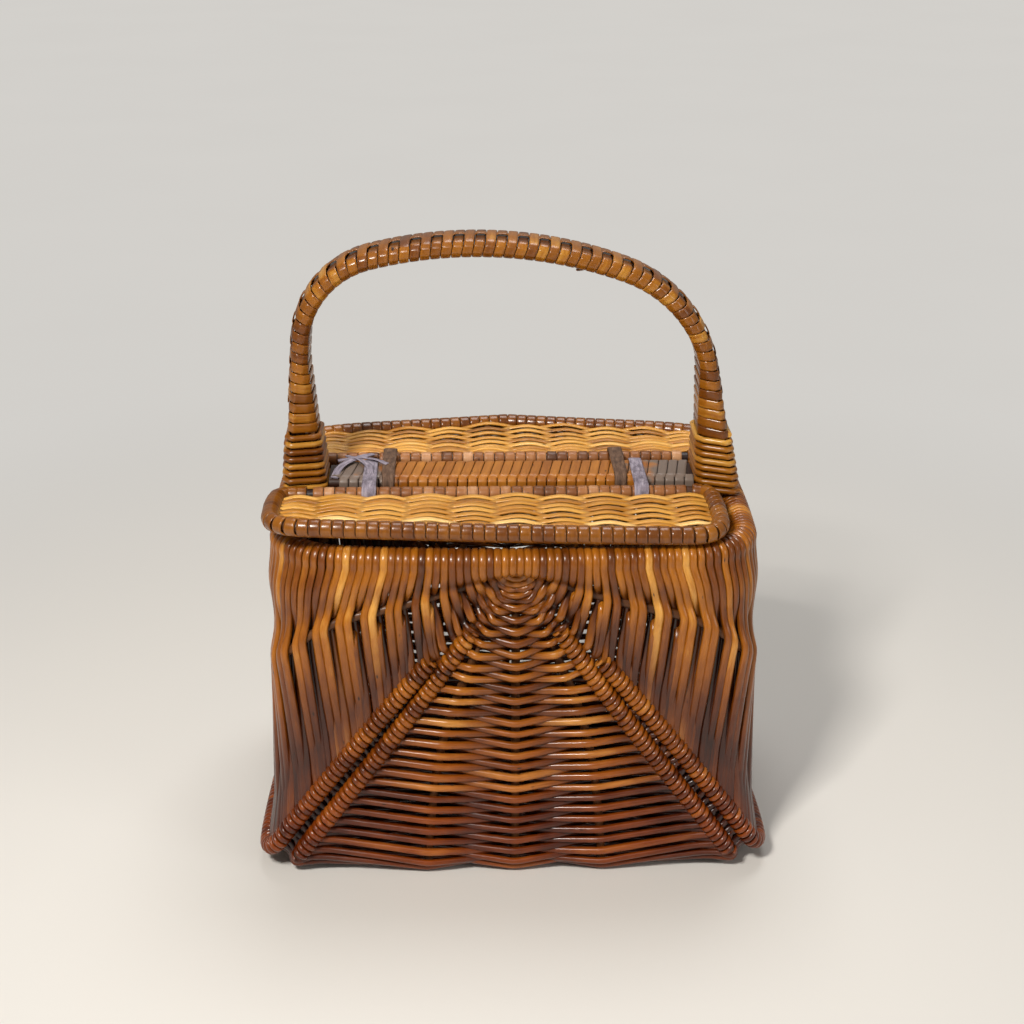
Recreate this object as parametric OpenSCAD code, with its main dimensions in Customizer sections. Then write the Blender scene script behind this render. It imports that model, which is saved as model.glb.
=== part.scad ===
// Two-lidded wicker basket on a frame of ribs, with a bent wrapped handle and a bar between its feet.
// X is right, Y is back, Z is up. The origin is on the ground under the middle of the basket.

/* [Rim] */
// Width of the basket over the wrapped rim
rim_w = 320; // [290:1:350]
// Depth of the basket over the wrapped rim
rim_d = 240; // [220:1:260]
// Height of the middle of the rim rod above the ground
rim_z = 226; // [200:1:250]
// Radius of the rim rod
rim_rod_r = 6; // [5:0.1:7]
// Radius of the rim's corners, seen from above
rim_corner_r = 42; // [34:1:50]
// Radius of the bowed front and back of the rim
rim_bow_r = 900; // [700:10:1200]
// How far the sides of the rim bow out
side_bulge = 1.5; // [1:0.1:3]
// Thickness of a weaver where it turns over a rod
weaver_t = 3.3; // [2.4:0.1:4]

/* [Body] */
// Number of weavers from a front ear to the middle of the body
rows = 50; // [40:1:60]
// Weavers from an ear down to the foot of the front wall
wall_rows = 34; // [30:1:38]
// Width of the body over its lowest side ribs
base_w = 338; // [310:1:350]
// Depth of the body at the ground
base_d = 236; // [215:1:250]
// Distance from a corner rib out to the lowest side rib, under the body
edge_step = 24.6; // [22:0.2:30]
// Radius of a rib
rib_r = 3; // [2:0.1:4]
// Thickness of the weave from its inside to the middle of its outside
weave_t = 5.2; // [4.5:0.1:6.5]
// How far a weaver stands out where it passes over a rib
weave_rise = 2.4; // [1:0.1:3]

/* [Handle] */
// Height of the top of the handle above the ground
handle_top = 410; // [370:1:450]
// Distance between the outsides of the handle's feet
handle_w = 304; // [285:1:315]
// Radius of one of the four rods in the handle
handle_rod_r = 4; // [3.4:0.1:4.6]
// Lean of the left leg from upright, in degrees
left_lean = 4.5; // [2:0.5:8]
// Lean of the right leg from upright, in degrees
right_lean = 11; // [6:0.5:14]
// Radius of the left shoulder of the handle
left_shoulder_r = 60; // [50:1:70]
// Radius of the right shoulder of the handle
right_shoulder_r = 88; // [75:1:95]
// Thickness of the flat cane round the handle, the bar and the lids
cane_t = 1.5; // [1:0.1:2]
// Spacing of the turns of cane round the handle
handle_pitch = 6.9; // [6:0.1:9]
// Height of the bound foot of a leg
foot_h = 44; // [35:1:55]
// Number of turns of round cane on a foot
foot_turns = 8; // [6:1:10]
// Radius of a brace peg at its thick end
brace_r = 3.5; // [2.5:0.1:4]

/* [Bar and ties] */
// Depth of the wrapped bar between the handle's feet, front to back
bar_d = 34; // [30:1:38]
// Thickness of the wrapped bar
bar_t = 12; // [10:0.5:13]
// Spacing of the turns of cane round the bar
bar_pitch = 6.6; // [5.5:0.1:9]
// Width of a tie
tie_w = 9; // [6:0.5:12]
// Thickness of a tie
tie_t = 1.4; // [1:0.1:2]
// Distance of the left ties from the middle
tie_left = 95; // [75:1:105]
// Distance of the right ties from the middle
tie_right = 85; // [75:1:105]

/* [Lids] */
// Width of a lid over its wrapped border
lid_w = 298; // [280:1:300]
// Distance of a lid's hinge rod from the middle of the bar
hinge_y = 33; // [32.5:0.5:35]
// Radius of a lid's hinge rod
hinge_r = 5.2; // [4.5:0.1:5.6]
// Radius of the rod in a lid's border
lid_rod_r = 4.2; // [3.6:0.1:4.8]
// How far the front lid lies to the left
front_lid_shift = 12; // [0:0.5:14]
// How high the front lid's left front corner has warped
front_lid_warp = 9; // [0:0.5:14]
// How high the rear lid's left back corner has warped
rear_lid_warp = 0; // [0:0.5:6]
// Number of stakes in a lid
lid_stakes = 10; // [8:1:12]
// Radius of a lid's stake
stake_r = 1.9; // [1.5:0.1:2.2]
// Number of weavers in a lid
lid_rows = 15; // [12:1:18]
// Spacing of the turns over a lid's border
lid_pitch = 8; // [7:0.5:10]

/* [Hidden] */

// Clearance between pieces that seat on each other
seat = 0.3;
$fn = 48;

// The rim: tangent arcs for the bowed front, the corner and the side of one quarter
rim_wrap_r = rim_rod_r + seat + weaver_t;
hoop_x = rim_w / 2 - rim_wrap_r;
hoop_y = rim_d / 2 - rim_wrap_r;
bow_turn = asin((hoop_x - rim_corner_r - side_bulge) / (rim_bow_r - rim_corner_r));
corner_x = (rim_bow_r - rim_corner_r) * sin(bow_turn);
corner_y = hoop_y - rim_bow_r + (rim_bow_r - rim_corner_r) * cos(bow_turn);
corner_in = corner_x - hoop_x;
side_r = (pow(rim_corner_r, 2) - pow(corner_in, 2) - pow(corner_y, 2)) / (2 * (corner_in + rim_corner_r));
side_turn = asin(corner_y / (side_r - rim_corner_r));
corner_turn = 90 - bow_turn - side_turn;
bow_len = rim_bow_r * bow_turn * PI / 180;
corner_len = rim_corner_r * corner_turn * PI / 180;
side_len = side_r * side_turn * PI / 180;
quarter_len = bow_len + corner_len + side_len;
rim_top = rim_z + rim_wrap_r;

// Point on the rim rod's middle line in the front right quarter, at a length from the front middle
function rim_quarter(s) =
    s < bow_len ? let(a = s / rim_bow_r * 180 / PI)
        [rim_bow_r * sin(a), -hoop_y + rim_bow_r * (1 - cos(a))]
    : s < bow_len + corner_len ? let(a = bow_turn + (s - bow_len) / rim_corner_r * 180 / PI)
        [corner_x + rim_corner_r * sin(a), -corner_y - rim_corner_r * cos(a)]
    : let(a = 90 - side_turn + (s - bow_len - corner_len) / side_r * 180 / PI)
        [hoop_x - side_r + side_r * sin(a), -side_r * cos(a)];

// Small helpers for points and curves
function lerp(a, b, t) = a + (b - a) * t;
function unit(v) = v / max(norm(v), 0.000001);
function cut_corners(p, n) = n == 0 ? p : cut_corners([p[0],
    for (i = [0:len(p) - 2]) each [lerp(p[i], p[i + 1], 0.25), lerp(p[i], p[i + 1], 0.75)],
    p[len(p) - 1]], n - 1);
function lengths(p) = [for (i = 0, s = 0; i < len(p);
    s = s + (i < len(p) - 1 ? norm(p[i + 1] - p[i]) : 0), i = i + 1) s];
function curve(p) = let(s = lengths(p))
    [for (axis = [0:2]) [for (i = [0:len(p) - 1]) [s[i], p[i][axis]]]];
function curve_len(c) = c[0][len(c[0]) - 1][0];
function on_curve(c, s) = [lookup(s, c[0]), lookup(s, c[1]), lookup(s, c[2])];
function curve_dir(c, s) = unit(on_curve(c, s + 0.5) - on_curve(c, s - 0.5));

// The body: a half rib is a curve from the front ear to the middle, given by its control points
front_y = -base_d / 2 + weave_rise;
floor_z = weave_rise;
bend = 24;
side_lead = 50;
low_round = 8;
high_round = 6;
side_x = base_w / 2 - weave_rise;
floor_x = side_x - edge_step;
ear = [0, -hoop_y, rim_z - rim_rod_r - 2 * seat];
wall_h = ear.z - floor_z;
function wall_z(share) = floor_z + wall_h * share;
HALF_RIBS = [
    [ear, [0, front_y, wall_z(0.5)], [0, front_y, floor_z], [0, front_y + bend, floor_z], [0, 0, floor_z]],
    [ear, [floor_x * 0.17, front_y, wall_z(0.76)], [floor_x * 0.35, front_y, wall_z(0.45)],
        [floor_x * 0.41, front_y, floor_z], [floor_x * 0.41, front_y + bend, floor_z],
        [floor_x * 0.41, 0, floor_z]],
    [ear, [floor_x * 0.52, front_y, wall_z(0.5)], [floor_x * 1.05, front_y, floor_z],
        [floor_x * 1.03, front_y + bend, floor_z], [floor_x, 0, floor_z]],
    [ear, [side_x * 0.46, front_y, wall_z(0.6)], [side_x * 0.8, front_y, wall_z(0.27)],
        [side_x * 0.97, front_y + low_round, wall_z(0.1)], [side_x, front_y + side_lead, wall_z(0.07)],
        [side_x, 0, wall_z(0.05)]],
    [ear, [side_x * 0.4, front_y, wall_z(0.9)], [side_x * 0.72, front_y, wall_z(0.85)],
        [side_x * 0.93, front_y + high_round, wall_z(0.72)], [side_x * 0.95, front_y + side_lead, wall_z(0.68)],
        [side_x * 0.95, 0, wall_z(0.67)]]];
rim_column = len(HALF_RIBS);
rim_steps = 24;
HALF_CURVES = [
    for (r = HALF_RIBS) curve(cut_corners(r, 3)),
    curve([for (i = [0:rim_steps]) let(q = rim_quarter(quarter_len * i / rim_steps)) [q.x, q.y, ear.z]])];

// Point in the middle of the weave: column 0 is the keel, 5 the rim, negative to the left;
// row 0 is the front ear, rows the middle of the body, 2 * rows the rear ear
function half_point(j, t) = on_curve(HALF_CURVES[j], t * curve_len(HALF_CURVES[j]));
function weave_point(j, k) =
    let(t = 1 - abs(1 - k / rows), a = abs(j), j0 = min(floor(a), rim_column - 1),
        q = lerp(half_point(j0, t), half_point(j0 + 1, t), a - j0))
    [sign(j) * q.x, (k <= rows ? 1 : -1) * q.y, q.z];
function weave_normal(j, k) =
    let(along = weave_point(j, min(k + 1, 2 * rows)) - weave_point(j, max(k - 1, 0)), p = weave_point(j, k),
        across = unit(weave_point(min(j + 0.3, rim_column), k) - p)
            + unit(p - weave_point(max(j - 0.3, -rim_column), k)))
    unit(cross(along, across));

// A weaver shows as a ridge that stands out over one rib and dips at the next
valley = -0.9;
dip = 0.4;
function relief(j, k, i) = i % 2 == 0 ? valley
    : (floor(k) + round(abs(j))) % 2 == 0 ? weave_rise : dip;
function outer_point(j, k, i) = let(p = weave_point(j, k) + weave_normal(j, k) * relief(j, k, i))
    [p.x, p.y, max(p.z, 0)];
function inner_point(j, k) = weave_point(j, k) - weave_normal(j, k) * (weave_t - weave_rise);

// A closed shell: a fine grid outside, only every few rows of it inside, and four edges
coarse = 4;
side_coarse = 2;
module shell(outer, inner, coarse) {
    n = len(outer) - 1;
    c = len(outer[0]);
    m = len(inner) - 1;
    base = (n + 1) * c;
    function o(i, j) = i * c + j;
    function b(i, j) = base + i * c + j;
    faces = [
        for (i = [0:n - 1]) for (j = [0:c - 2])
            each [[o(i, j), o(i, j + 1), o(i + 1, j + 1)], [o(i, j), o(i + 1, j + 1), o(i + 1, j)]],
        for (i = [0:m - 1]) for (j = [0:c - 2])
            each [[b(i, j), b(i + 1, j + 1), b(i, j + 1)], [b(i, j), b(i + 1, j), b(i + 1, j + 1)]],
        for (j = [0:c - 2])
            each [[o(0, j + 1), o(0, j), b(0, j)], [o(0, j + 1), b(0, j), b(0, j + 1)],
                [o(n, j), o(n, j + 1), b(m, j + 1)], [o(n, j), b(m, j + 1), b(m, j)]],
        for (i = [0:n - 1]) let(r = floor(i / coarse), e = c - 1, last = (i + 1) % coarse == 0 || i + 1 == n)
            each [[o(i, 0), o(i + 1, 0), b(r, 0)], [o(i + 1, e), o(i, e), b(r, e)],
                if (last) [o(i + 1, 0), b(r + 1, 0), b(r, 0)],
                if (last) [o(i + 1, e), b(r, e), b(r + 1, e)]]];
    polyhedron([each [for (row = outer) each row], each [for (row = inner) each row]], faces);
}

// A panel of the body's weave between two rows and two columns
panel_inset = 0.055;
module weave_panel(k0, k1, columns, coarse) {
    n = 2 * round(k1 - k0);
    function row(i) = lerp(k0 + panel_inset, k1 - panel_inset, i / n);
    outer = [for (i = [0:n]) [for (j = columns) outer_point(j, row(i), i)]];
    inner = [for (r = [0:ceil(n / coarse)]) [for (j = columns) inner_point(j, row(min(r * coarse, n)))]];
    shell(outer, inner, coarse);
}

// A tube along a list of points, with a frame whose side leans towards a given direction
function frames(p, side) = [for (i = [0:len(p) - 1])
    let(t = unit(p[min(i + 1, len(p) - 1)] - p[max(i - 1, 0)]), s = unit(cross(cross(t, side), t)))
    [p[i], s, cross(t, s)]];
module tube(p, side, section) {
    f = frames(p, side);
    c = len(section);
    n = len(p) - 1;
    polyhedron([for (q = f) for (v = section) q[0] + q[1] * v.x + q[2] * v.y], tube_faces(n, c));
}
function tube_faces(n, c) = [[for (j = [0:c - 1]) j], [for (j = [c - 1:-1:0]) n * c + j],
    for (i = [0:n - 1]) for (j = [0:c - 1]) let(a = i * c + j, b = i * c + (j + 1) % c)
        each [[a, a + c, b + c], [a, b + c, b]]];
function ring(r, n) = [for (i = [0:n - 1]) [r * cos(360 * i / n), r * sin(360 * i / n)]];

// A rib runs just inside the weave, sharpened at both ends where it is stuck in the ears
rib_sides = 5;
rib_rings = 18;
rib_clear = 0.9;
edge_clear = 1.6;
function rib_middle(j, k, clear) =
    weave_point(j, k) - weave_normal(j, k) * (weave_t - weave_rise + rib_r + clear);
module rib(j, k0, clear = rib_clear) {
    p = [for (i = [0:rib_rings]) rib_middle(j, lerp(k0, 2 * rows - k0, i / rib_rings), clear)];
    f = frames(p, [1, 0, 0.01]);
    points = [for (i = [0:rib_rings]) for (v = ring(rib_r * min(1, 0.45 + 0.3 * min(i, rib_rings - i)), rib_sides))
        f[i][0] + f[i][1] * v.x + f[i][2] * v.y];
    polyhedron(points, tube_faces(rib_rings, rib_sides));
}

// An unbroken helix of cane round a path, closed inside by a bore.
// at(s, i, grow) is the point at length s and side i that stands grow above the bore
module winding(length, pitch, sides, at, rise, groove, bore_rings) {
    turns = floor(length / pitch) + 1;
    step = length / (turns - 1);
    last = (turns - 1) * sides;
    ridges = [for (m = [0:last]) at(step * m / sides, m % sides, rise)];
    troughs = [for (m = [0:last - sides]) at(step * (m / sides + 0.8), m % sides, groove)];
    bores = [for (r = [0:bore_rings]) for (i = [0:sides - 1])
        at(step * (i / sides + (turns - 2) * r / bore_rings), i, 0)];
    nr = len(ridges);
    nt = len(troughs);
    e = nr - 1 - sides;
    function b(r, i) = nr + nt + r * sides + i % sides;
    faces = [
        for (m = [0:nt - 2]) each [[m, m + 1, nr + m + 1], [m, nr + m + 1, nr + m],
            [nr + m, nr + m + 1, m + sides + 1], [nr + m, m + sides + 1, m + sides]],
        [nr, sides, 0], [0, sides, b(0, 0)],
        [nr - 1, nr + nt - 1, e], [nr - 1, e, b(bore_rings, 0)],
        for (i = [0:sides - 1]) each [[i + 1, i, b(0, i)], [i + 1, b(0, i), b(0, i + 1)],
            [e + i, e + i + 1, b(bore_rings, i + 1)], [e + i, b(bore_rings, i + 1), b(bore_rings, i)]],
        for (r = [0:bore_rings - 1]) for (i = [0:sides - 1])
            each [[b(r, i + 1), b(r, i), b(r + 1, i)], [b(r, i + 1), b(r + 1, i), b(r + 1, i + 1)]]];
    polyhedron([each ridges, each troughs, each bores], faces);
}

// A weaver's turn over a rod: part of a ring at a point, round an axis, open towards one direction
module turn_over(at, axis, open_to, r_in, thick, width, open_angle) {
    z = unit(axis);
    x = unit(open_to - z * (open_to * z));
    y = cross(z, x);
    multmatrix([[x.x, y.x, z.x, at.x], [x.y, y.y, z.y, at.y], [x.z, y.z, z.z, at.z], [0, 0, 0, 1]])
        rotate([0, 0, open_angle])
            rotate_extrude(angle = 360 - 2 * open_angle, $fn = 32)
                translate([r_in, -width / 2]) square([thick, width]);
}

// The rim rod is bent to a bowed rectangle, closed on itself
rim_sides = 8;
bow_rings = 4;
corner_rings = 9;
side_rings = 3;
module rim_hoop() color("saddlebrown") {
    along = [for (i = [0:bow_rings - 1]) bow_len * i / bow_rings,
        for (i = [0:corner_rings - 1]) bow_len + corner_len * i / corner_rings,
        for (i = [0:side_rings]) quarter_len - side_len * (1 - i / side_rings)];
    quarter = [for (s = along) rim_quarter(s)];
    e = len(quarter) - 1;
    p = [for (i = [0:e - 1]) quarter[i], for (i = [e:-1:1]) [quarter[i].x, -quarter[i].y],
        for (i = [0:e - 1]) -quarter[i], for (i = [e:-1:1]) [-quarter[i].x, quarter[i].y]];
    n = len(p);
    section = ring(rim_rod_r, rim_sides);
    points = [for (i = [0:n - 1]) let(d = unit(p[(i + 1) % n] - p[(i + n - 1) % n])) for (v = section)
        [p[i].x + v.x * d.y, p[i].y - v.x * d.x, rim_z + v.y]];
    polyhedron(points, [for (i = [0:n - 1]) for (j = [0:rim_sides - 1])
        let(a = i * rim_sides, b = (i + 1) % n * rim_sides, e = (j + 1) % rim_sides)
        each [[a + j, b + e, b + j], [a + j, a + e, b + e]]]);
}

// Every weaver ends in a turn over the rim rod, open below where the weave comes up to it
rim_open = 32;
turn_share = 0.72;
module rim_wraps() color("peru") {
    for (k = [0.5:rows - 0.5]) for (mx = [-1, 1]) for (my = [-1, 1])
        let(s = quarter_len * k / rows, p = rim_quarter(s), d = rim_quarter(s + 0.5) - rim_quarter(s - 0.5))
        turn_over([mx * p.x, my * p.y, rim_z], [mx * d.x, my * d.y, 0], [0, 0, -1],
            rim_rod_r + seat, weaver_t, quarter_len / rows * turn_share, rim_open);
}

// The body's ribs and its five woven panels
keel_start = 5;
inner_start = 12;
corner_start = 7;
low_start = 16;
high_start = 6;
module keel_rib() color("sienna") rib(0, keel_start);
module inner_rib_left() color("sienna") rib(-1, inner_start);
module inner_rib_right() color("sienna") rib(1, inner_start);
module corner_rib_left() color("sienna") rib(-2, corner_start, edge_clear);
module corner_rib_right() color("sienna") rib(2, corner_start, edge_clear);
module low_side_rib_left() color("sienna") rib(-3, low_start);
module low_side_rib_right() color("sienna") rib(3, low_start);
module high_side_rib_left() color("sienna") rib(-4, high_start);
module high_side_rib_right() color("sienna") rib(4, high_start);

ear_rows = [1, 5];
all_columns = [for (j = [-rim_column:rim_column]) j];
split = 0.004;
module front_ear() color("sienna") weave_panel(ear_rows[0], ear_rows[1], all_columns, coarse);
module rear_ear() color("sienna") weave_panel(2 * rows - ear_rows[1], 2 * rows - ear_rows[0], all_columns, coarse);
module front_weave() color("goldenrod") weave_panel(ear_rows[1], wall_rows, all_columns, coarse);
module rear_weave() color("goldenrod")
    weave_panel(2 * rows - wall_rows, 2 * rows - ear_rows[1], all_columns, coarse);
module left_side_weave() color("goldenrod")
    weave_panel(wall_rows, 2 * rows - wall_rows, [-5, -4, -3, -2 - split], side_coarse);
module right_side_weave() color("goldenrod")
    weave_panel(wall_rows, 2 * rows - wall_rows, [2 + split, 3, 4, 5], side_coarse);
// Under the body each weaver is worn flat, so that the basket stands on the ground
module base_weave() color("goldenrod") {
    columns = [-2 + split, -1, 0, 1, 2 - split];
    k0 = wall_rows + panel_inset;
    k1 = 2 * rows - wall_rows - panel_inset;
    n = 3 * 2 * (rows - wall_rows);
    outer = [for (i = [0:n]) let(k = lerp(k0, k1, i / n)) [for (j = columns)
        let(p = weave_point(j, k) + weave_normal(j, k) * (i % 3 == 0 ? valley : weave_rise + dip))
        [p.x, p.y, max(p.z, 0)]]];
    inner = [for (r = [0:ceil(n / coarse)]) [for (j = columns)
        inner_point(j, lerp(k0, k1, min(r * coarse, n) / n))]];
    shell(outer, inner, coarse);
}

// The handle's path: a left leg, a tight shoulder, a flat top, a wide shoulder and a right leg.
// The legs and the radius of the top are solved so that it lands on both feet at its height
band_half = handle_rod_r + seat + cane_t;
foot_z = rim_top + seat;
foot_x = handle_w / 2 - band_half;
leader_t = 1.2;
left_rise = 14;
right_fall = 20;
headings = [90 - left_lean, left_rise, -right_fall, right_lean - 90];
function turned(r, h0, h1) = r * [sin(h0) - sin(h1), cos(h1) - cos(h0)];
shoulders = turned(left_shoulder_r, headings[0], headings[1]) + turned(right_shoulder_r, headings[2], headings[3]);
apex = handle_top - band_half - seat - leader_t - foot_z;
apex_rest = apex - turned(left_shoulder_r, headings[0], headings[1]).y;
leg_a = [cos(headings[0]), sin(headings[0]), sin(headings[0])];
leg_b = [cos(headings[3]), sin(headings[3]), 0];
top_b = [each turned(1, headings[1], headings[2]), turned(1, headings[1], 0).y];
goal = [2 * foot_x - shoulders.x, -shoulders.y, apex_rest];
function det(a, b, c) = a * cross(b, c);
whole = det(leg_a, top_b, leg_b);
left_leg = det(goal, top_b, leg_b) / whole;
top_r = det(leg_a, goal, leg_b) / whole;
right_leg = det(leg_a, top_b, goal) / whole;
radii = [left_shoulder_r, top_r, right_shoulder_r];
function arc_len(i) = radii[i] * (headings[i] - headings[i + 1]) * PI / 180;
left_foot = [-foot_x, foot_z];
joint_1 = left_foot + left_leg * [cos(headings[0]), sin(headings[0])];
joint_2 = joint_1 + turned(radii[0], headings[0], headings[1]);
joint_3 = joint_2 + turned(radii[1], headings[1], headings[2]);
joint_4 = joint_3 + turned(radii[2], headings[2], headings[3]);
joints = [joint_1, joint_2, joint_3, joint_4];
at_1 = left_leg;
at_2 = at_1 + arc_len(0);
at_3 = at_2 + arc_len(1);
at_4 = at_3 + arc_len(2);
handle_len = at_4 + right_leg;
function in_arc(i, s) = let(h = headings[i] - s / radii[i] * 180 / PI) [joints[i] + turned(radii[i], headings[i], h), h];
function handle_at(s) =
    s < at_1 ? [left_foot + s * [cos(headings[0]), sin(headings[0])], headings[0]]
    : s < at_2 ? in_arc(0, s - at_1)
    : s < at_3 ? in_arc(1, s - at_2)
    : s < at_4 ? in_arc(2, s - at_3)
    : [joint_4 + (s - at_4) * [cos(headings[3]), sin(headings[3])], headings[3]];

// Four rods side by side, each bent along the handle's path
rod_step = 2 * handle_rod_r + 0.1;
rod_lift = handle_rod_r * tan(right_lean);
rod_sides = 8;
arc_rings = [10, 6, 9];
arc_starts = [at_1, at_2, at_3];
module handle_bow() color("peru") {
    along = [rod_lift, for (i = [0:2]) for (n = [0:arc_rings[i] - 1]) arc_starts[i] + arc_len(i) * n / arc_rings[i],
        at_4, handle_len - rod_lift];
    p = [for (s = along) handle_at(s)[0]];
    for (i = [-1.5:1.5]) tube([for (q = p) [q.x, i * rod_step, q.y]], [0, 1, 0], ring(handle_rod_r, rod_sides));
}

// Two sharpened pegs brace each leg; their ends go down inside the rim
brace_off = 16;
brace_tip_r = 2;
brace_up = 66;
brace_down = 36;
brace_y = 13;
module braces(foot, heading, inward) {
    low = foot + [inward * brace_off, 0];
    tip = foot + brace_up * [cos(heading), sin(heading)] * sign(sin(heading))
        + [inward * (handle_rod_r + seat + brace_tip_r), 0];
    end = low + unit(low - tip) * brace_down;
    run = tip - end;
    for (y = [-brace_y, brace_y]) translate([end.x, y, end.y])
        rotate([0, atan2(run.x, run.y), 0]) cylinder(r1 = brace_r, r2 = brace_tip_r, h = norm(run));
}
module left_braces() color("sienna") braces(left_foot, headings[0], 1);
module right_braces() color("sienna") braces([foot_x, foot_z], headings[3], -1);

// The skin of the handle: an eight-sided band that widens inwards and sideways towards the feet
band_in = handle_rod_r + seat;
foot_in = brace_off + brace_r + seat;
tip_in = band_in + 2 * brace_tip_r + seat;
tip_fade = 24;
band_y = 1.5 * rod_step + handle_rod_r + seat;
foot_widen = 6;
widen_up = 90;
lay_flat = 60;
function skin_in(d) = d < brace_up ? lerp(foot_in, tip_in, d / brace_up)
    : max(band_in, lerp(tip_in, band_in, (d - brace_up) / tip_fade));
function skin_y(d) = band_y + foot_widen * max(0, 1 - d / widen_up);
skin_round = 6.5;
function cut(reach) = (2 - sqrt(2)) * min(reach, skin_round);
function octagon(top, low, y) = let(a = cut(top), b = cut(low))
    [[top, a - y], [top, y - a], [top - a, y], [b - low, y],
    [-low, y - b], [-low, b - y], [b - low, -y], [top - a, -y]];
function handle_skin(s, i, grow) =
    let(q = handle_at(s), d = min(s, handle_len - s), level = min(1, max(0, (d - foot_h) / lay_flat)),
        h = lerp(s * 2 < handle_len ? 90 : -90, q[1], level),
        v = octagon(band_in + grow, skin_in(d) + grow, skin_y(d) + grow)[i])
    [q[0].x - v.x * sin(h), v.y, q[0].y + v.x * cos(h)];
skin_sides = 8;
module handle_wrap() color("orange")
    winding(handle_len - 2 * foot_h - 2 * seat, handle_pitch, skin_sides,
        function(s, i, grow) handle_skin(s + foot_h + seat, i, grow), cane_t, cane_t * 0.4, 60);
foot_cane = 3.1;
module foot_binding(start)
    winding(foot_h, foot_h / foot_turns, skin_sides,
        function(s, i, grow) handle_skin(s + start, i, grow), foot_cane, foot_cane * 0.3, 3);
module left_foot_binding() color("darkgoldenrod") foot_binding(0);
module right_foot_binding() color("darkgoldenrod") foot_binding(handle_len - foot_h);

// A flat strip runs along the outside of the handle
leader_w = 6;
leader_rings = 44;
leader_start = 70;
module handle_leader() color("orange") {
    off = band_half + seat + leader_t / 2;
    p = [for (i = [0:leader_rings]) let(q = handle_at(lerp(leader_start, handle_len - leader_start, i / leader_rings)))
        [q[0].x - off * sin(q[1]), 0, q[0].y + off * cos(q[1])]];
    tube(p, [0, 1, 0], [for (v = [[-1, -1], [1, -1], [1, 1], [-1, 1]]) [v.x * leader_w / 2, v.y * leader_t / 2]]);
}

// The lids and the bar lie at one height on the rim
lid_border_r = lid_rod_r + seat + cane_t;
lid_z = rim_top + seat + lid_border_r;
bar_end = foot_x - foot_in - foot_cane - seat - bar_t * max(0, tan(right_lean) - (foot_in - tip_in) / brace_up);
module bridge_bar() color("peru") {
    r = bar_t / 2 - cane_t - seat;
    flat = bar_d / 2 - cane_t - seat - r;
    translate([-bar_end, 0, lid_z]) rotate([90, 0, 90]) linear_extrude(2 * bar_end) {
        square([2 * flat, 2 * r], center = true);
        for (end = [-flat, flat]) translate([end, 0]) circle(r);
    }
}
module bridge_wrap() color("orange")
    winding(2 * bar_end, bar_pitch, skin_sides,
        function(s, i, grow) let(v = octagon(bar_t / 2 - cane_t + grow, bar_t / 2 - cane_t + grow,
            bar_d / 2 - cane_t + grow)[i]) [s - bar_end, v.y, lid_z + v.x], cane_t, cane_t * 0.4, 2);

// A tie is a loop round the bar and a lid's hinge rod, which turns in it
tie_in = max(bar_t / 2, hinge_r) + 2 * seat;
tie_apart = 3;
module tie(x, end) {
    far = -end * (bar_d / 2 + seat - tie_in * 0.95);
    near = end * hinge_y;
    translate([x - tie_w / 2, 0, lid_z]) rotate([90, 0, 90]) linear_extrude(tie_w) difference() {
        loop_outline(far, near, tie_in + tie_t);
        loop_outline(far, near, tie_in);
    }
}
module loop_outline(a, b, r) {
    for (y = [a, b]) translate([y, 0]) circle(r);
    translate([min(a, b), -r]) square([abs(a - b), 2 * r]);
}
module front_tie_left() color("slategray") tie(-tie_left, -1);
module front_tie_right() color("slategray") tie(tie_right, -1);
module rear_tie_left() color("slategray") tie(tie_w + tie_apart - tie_left, 1);
module rear_tie_right() color("slategray") tie(tie_right - tie_w - tie_apart, 1);

// A lid is drawn as the front one: x to the right, v forwards from the middle of the bar.
// Its border runs from one end of the hinge rod round the front to the other
lid_x = lid_w / 2 - lid_border_r;
lid_v = hoop_y + 1;
lid_bow = 4.5;
corner_reach = 46;
back_round = 26;
hinge_end = lid_x - back_round * 0.6;
border_control = [[hinge_end, hinge_y], [lid_x, hinge_y], [lid_x + 1, hinge_y + back_round],
    [lid_x + 1, lid_v - lid_bow - corner_reach], [lid_x - 1, lid_v - lid_bow],
    [lid_x - corner_reach, lid_v - lid_bow / 3], [0, lid_v]];
border_half = cut_corners(border_control, 2);
border_flat = [each border_half, for (i = [len(border_half) - 2:-1:0]) [-border_half[i].x, border_half[i].y]];
corner_v = lid_v - lid_bow - corner_reach * 0.27;
side_table = [for (q = border_half) if (q.y > hinge_y + 12 && q.y <= corner_v) [q.y, q.x]];
front_table = [for (i = [len(border_half) - 1:-1:0]) let(q = border_half[i]) if (q.y > corner_v - 2) q];
function side_at(v) = lookup(v, side_table);
function front_at(x) = lookup(abs(x), front_table);
function lid_point(x, v, z, warp) =
    [x, -v, lid_z + z + warp * (lid_x - x) / (2 * lid_x) * max(0, v - hinge_y) / (lid_v - hinge_y)];

module lid_hinge_rod() translate([-hinge_end + seat, -hinge_y, lid_z]) rotate([0, 90, 0])
    cylinder(r = hinge_r, h = 2 * (hinge_end - seat));
border_sides = 6;
module lid_border(warp) tube([for (q = border_flat) lid_point(q.x, q.y, 0, warp)], [0, 0, 1],
    ring(lid_rod_r, border_sides));
wraps_start = 34;
border_open = 42;
border_open_up = 25;
module lid_wraps(warp) {
    c = curve([for (q = border_flat) lid_point(q.x, q.y, 0, warp)]);
    n = floor((curve_len(c) - 2 * wraps_start) / lid_pitch);
    for (i = [0:n]) let(s = lerp(wraps_start, curve_len(c) - wraps_start, i / n), d = curve_dir(c, s))
        turn_over(on_curve(c, s), d,
            cross(d, [0, 0, 1]) * cos(border_open_up) + [0, 0, sin(border_open_up)],
            lid_rod_r + seat, cane_t, lid_pitch * turn_share, border_open);
}
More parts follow.
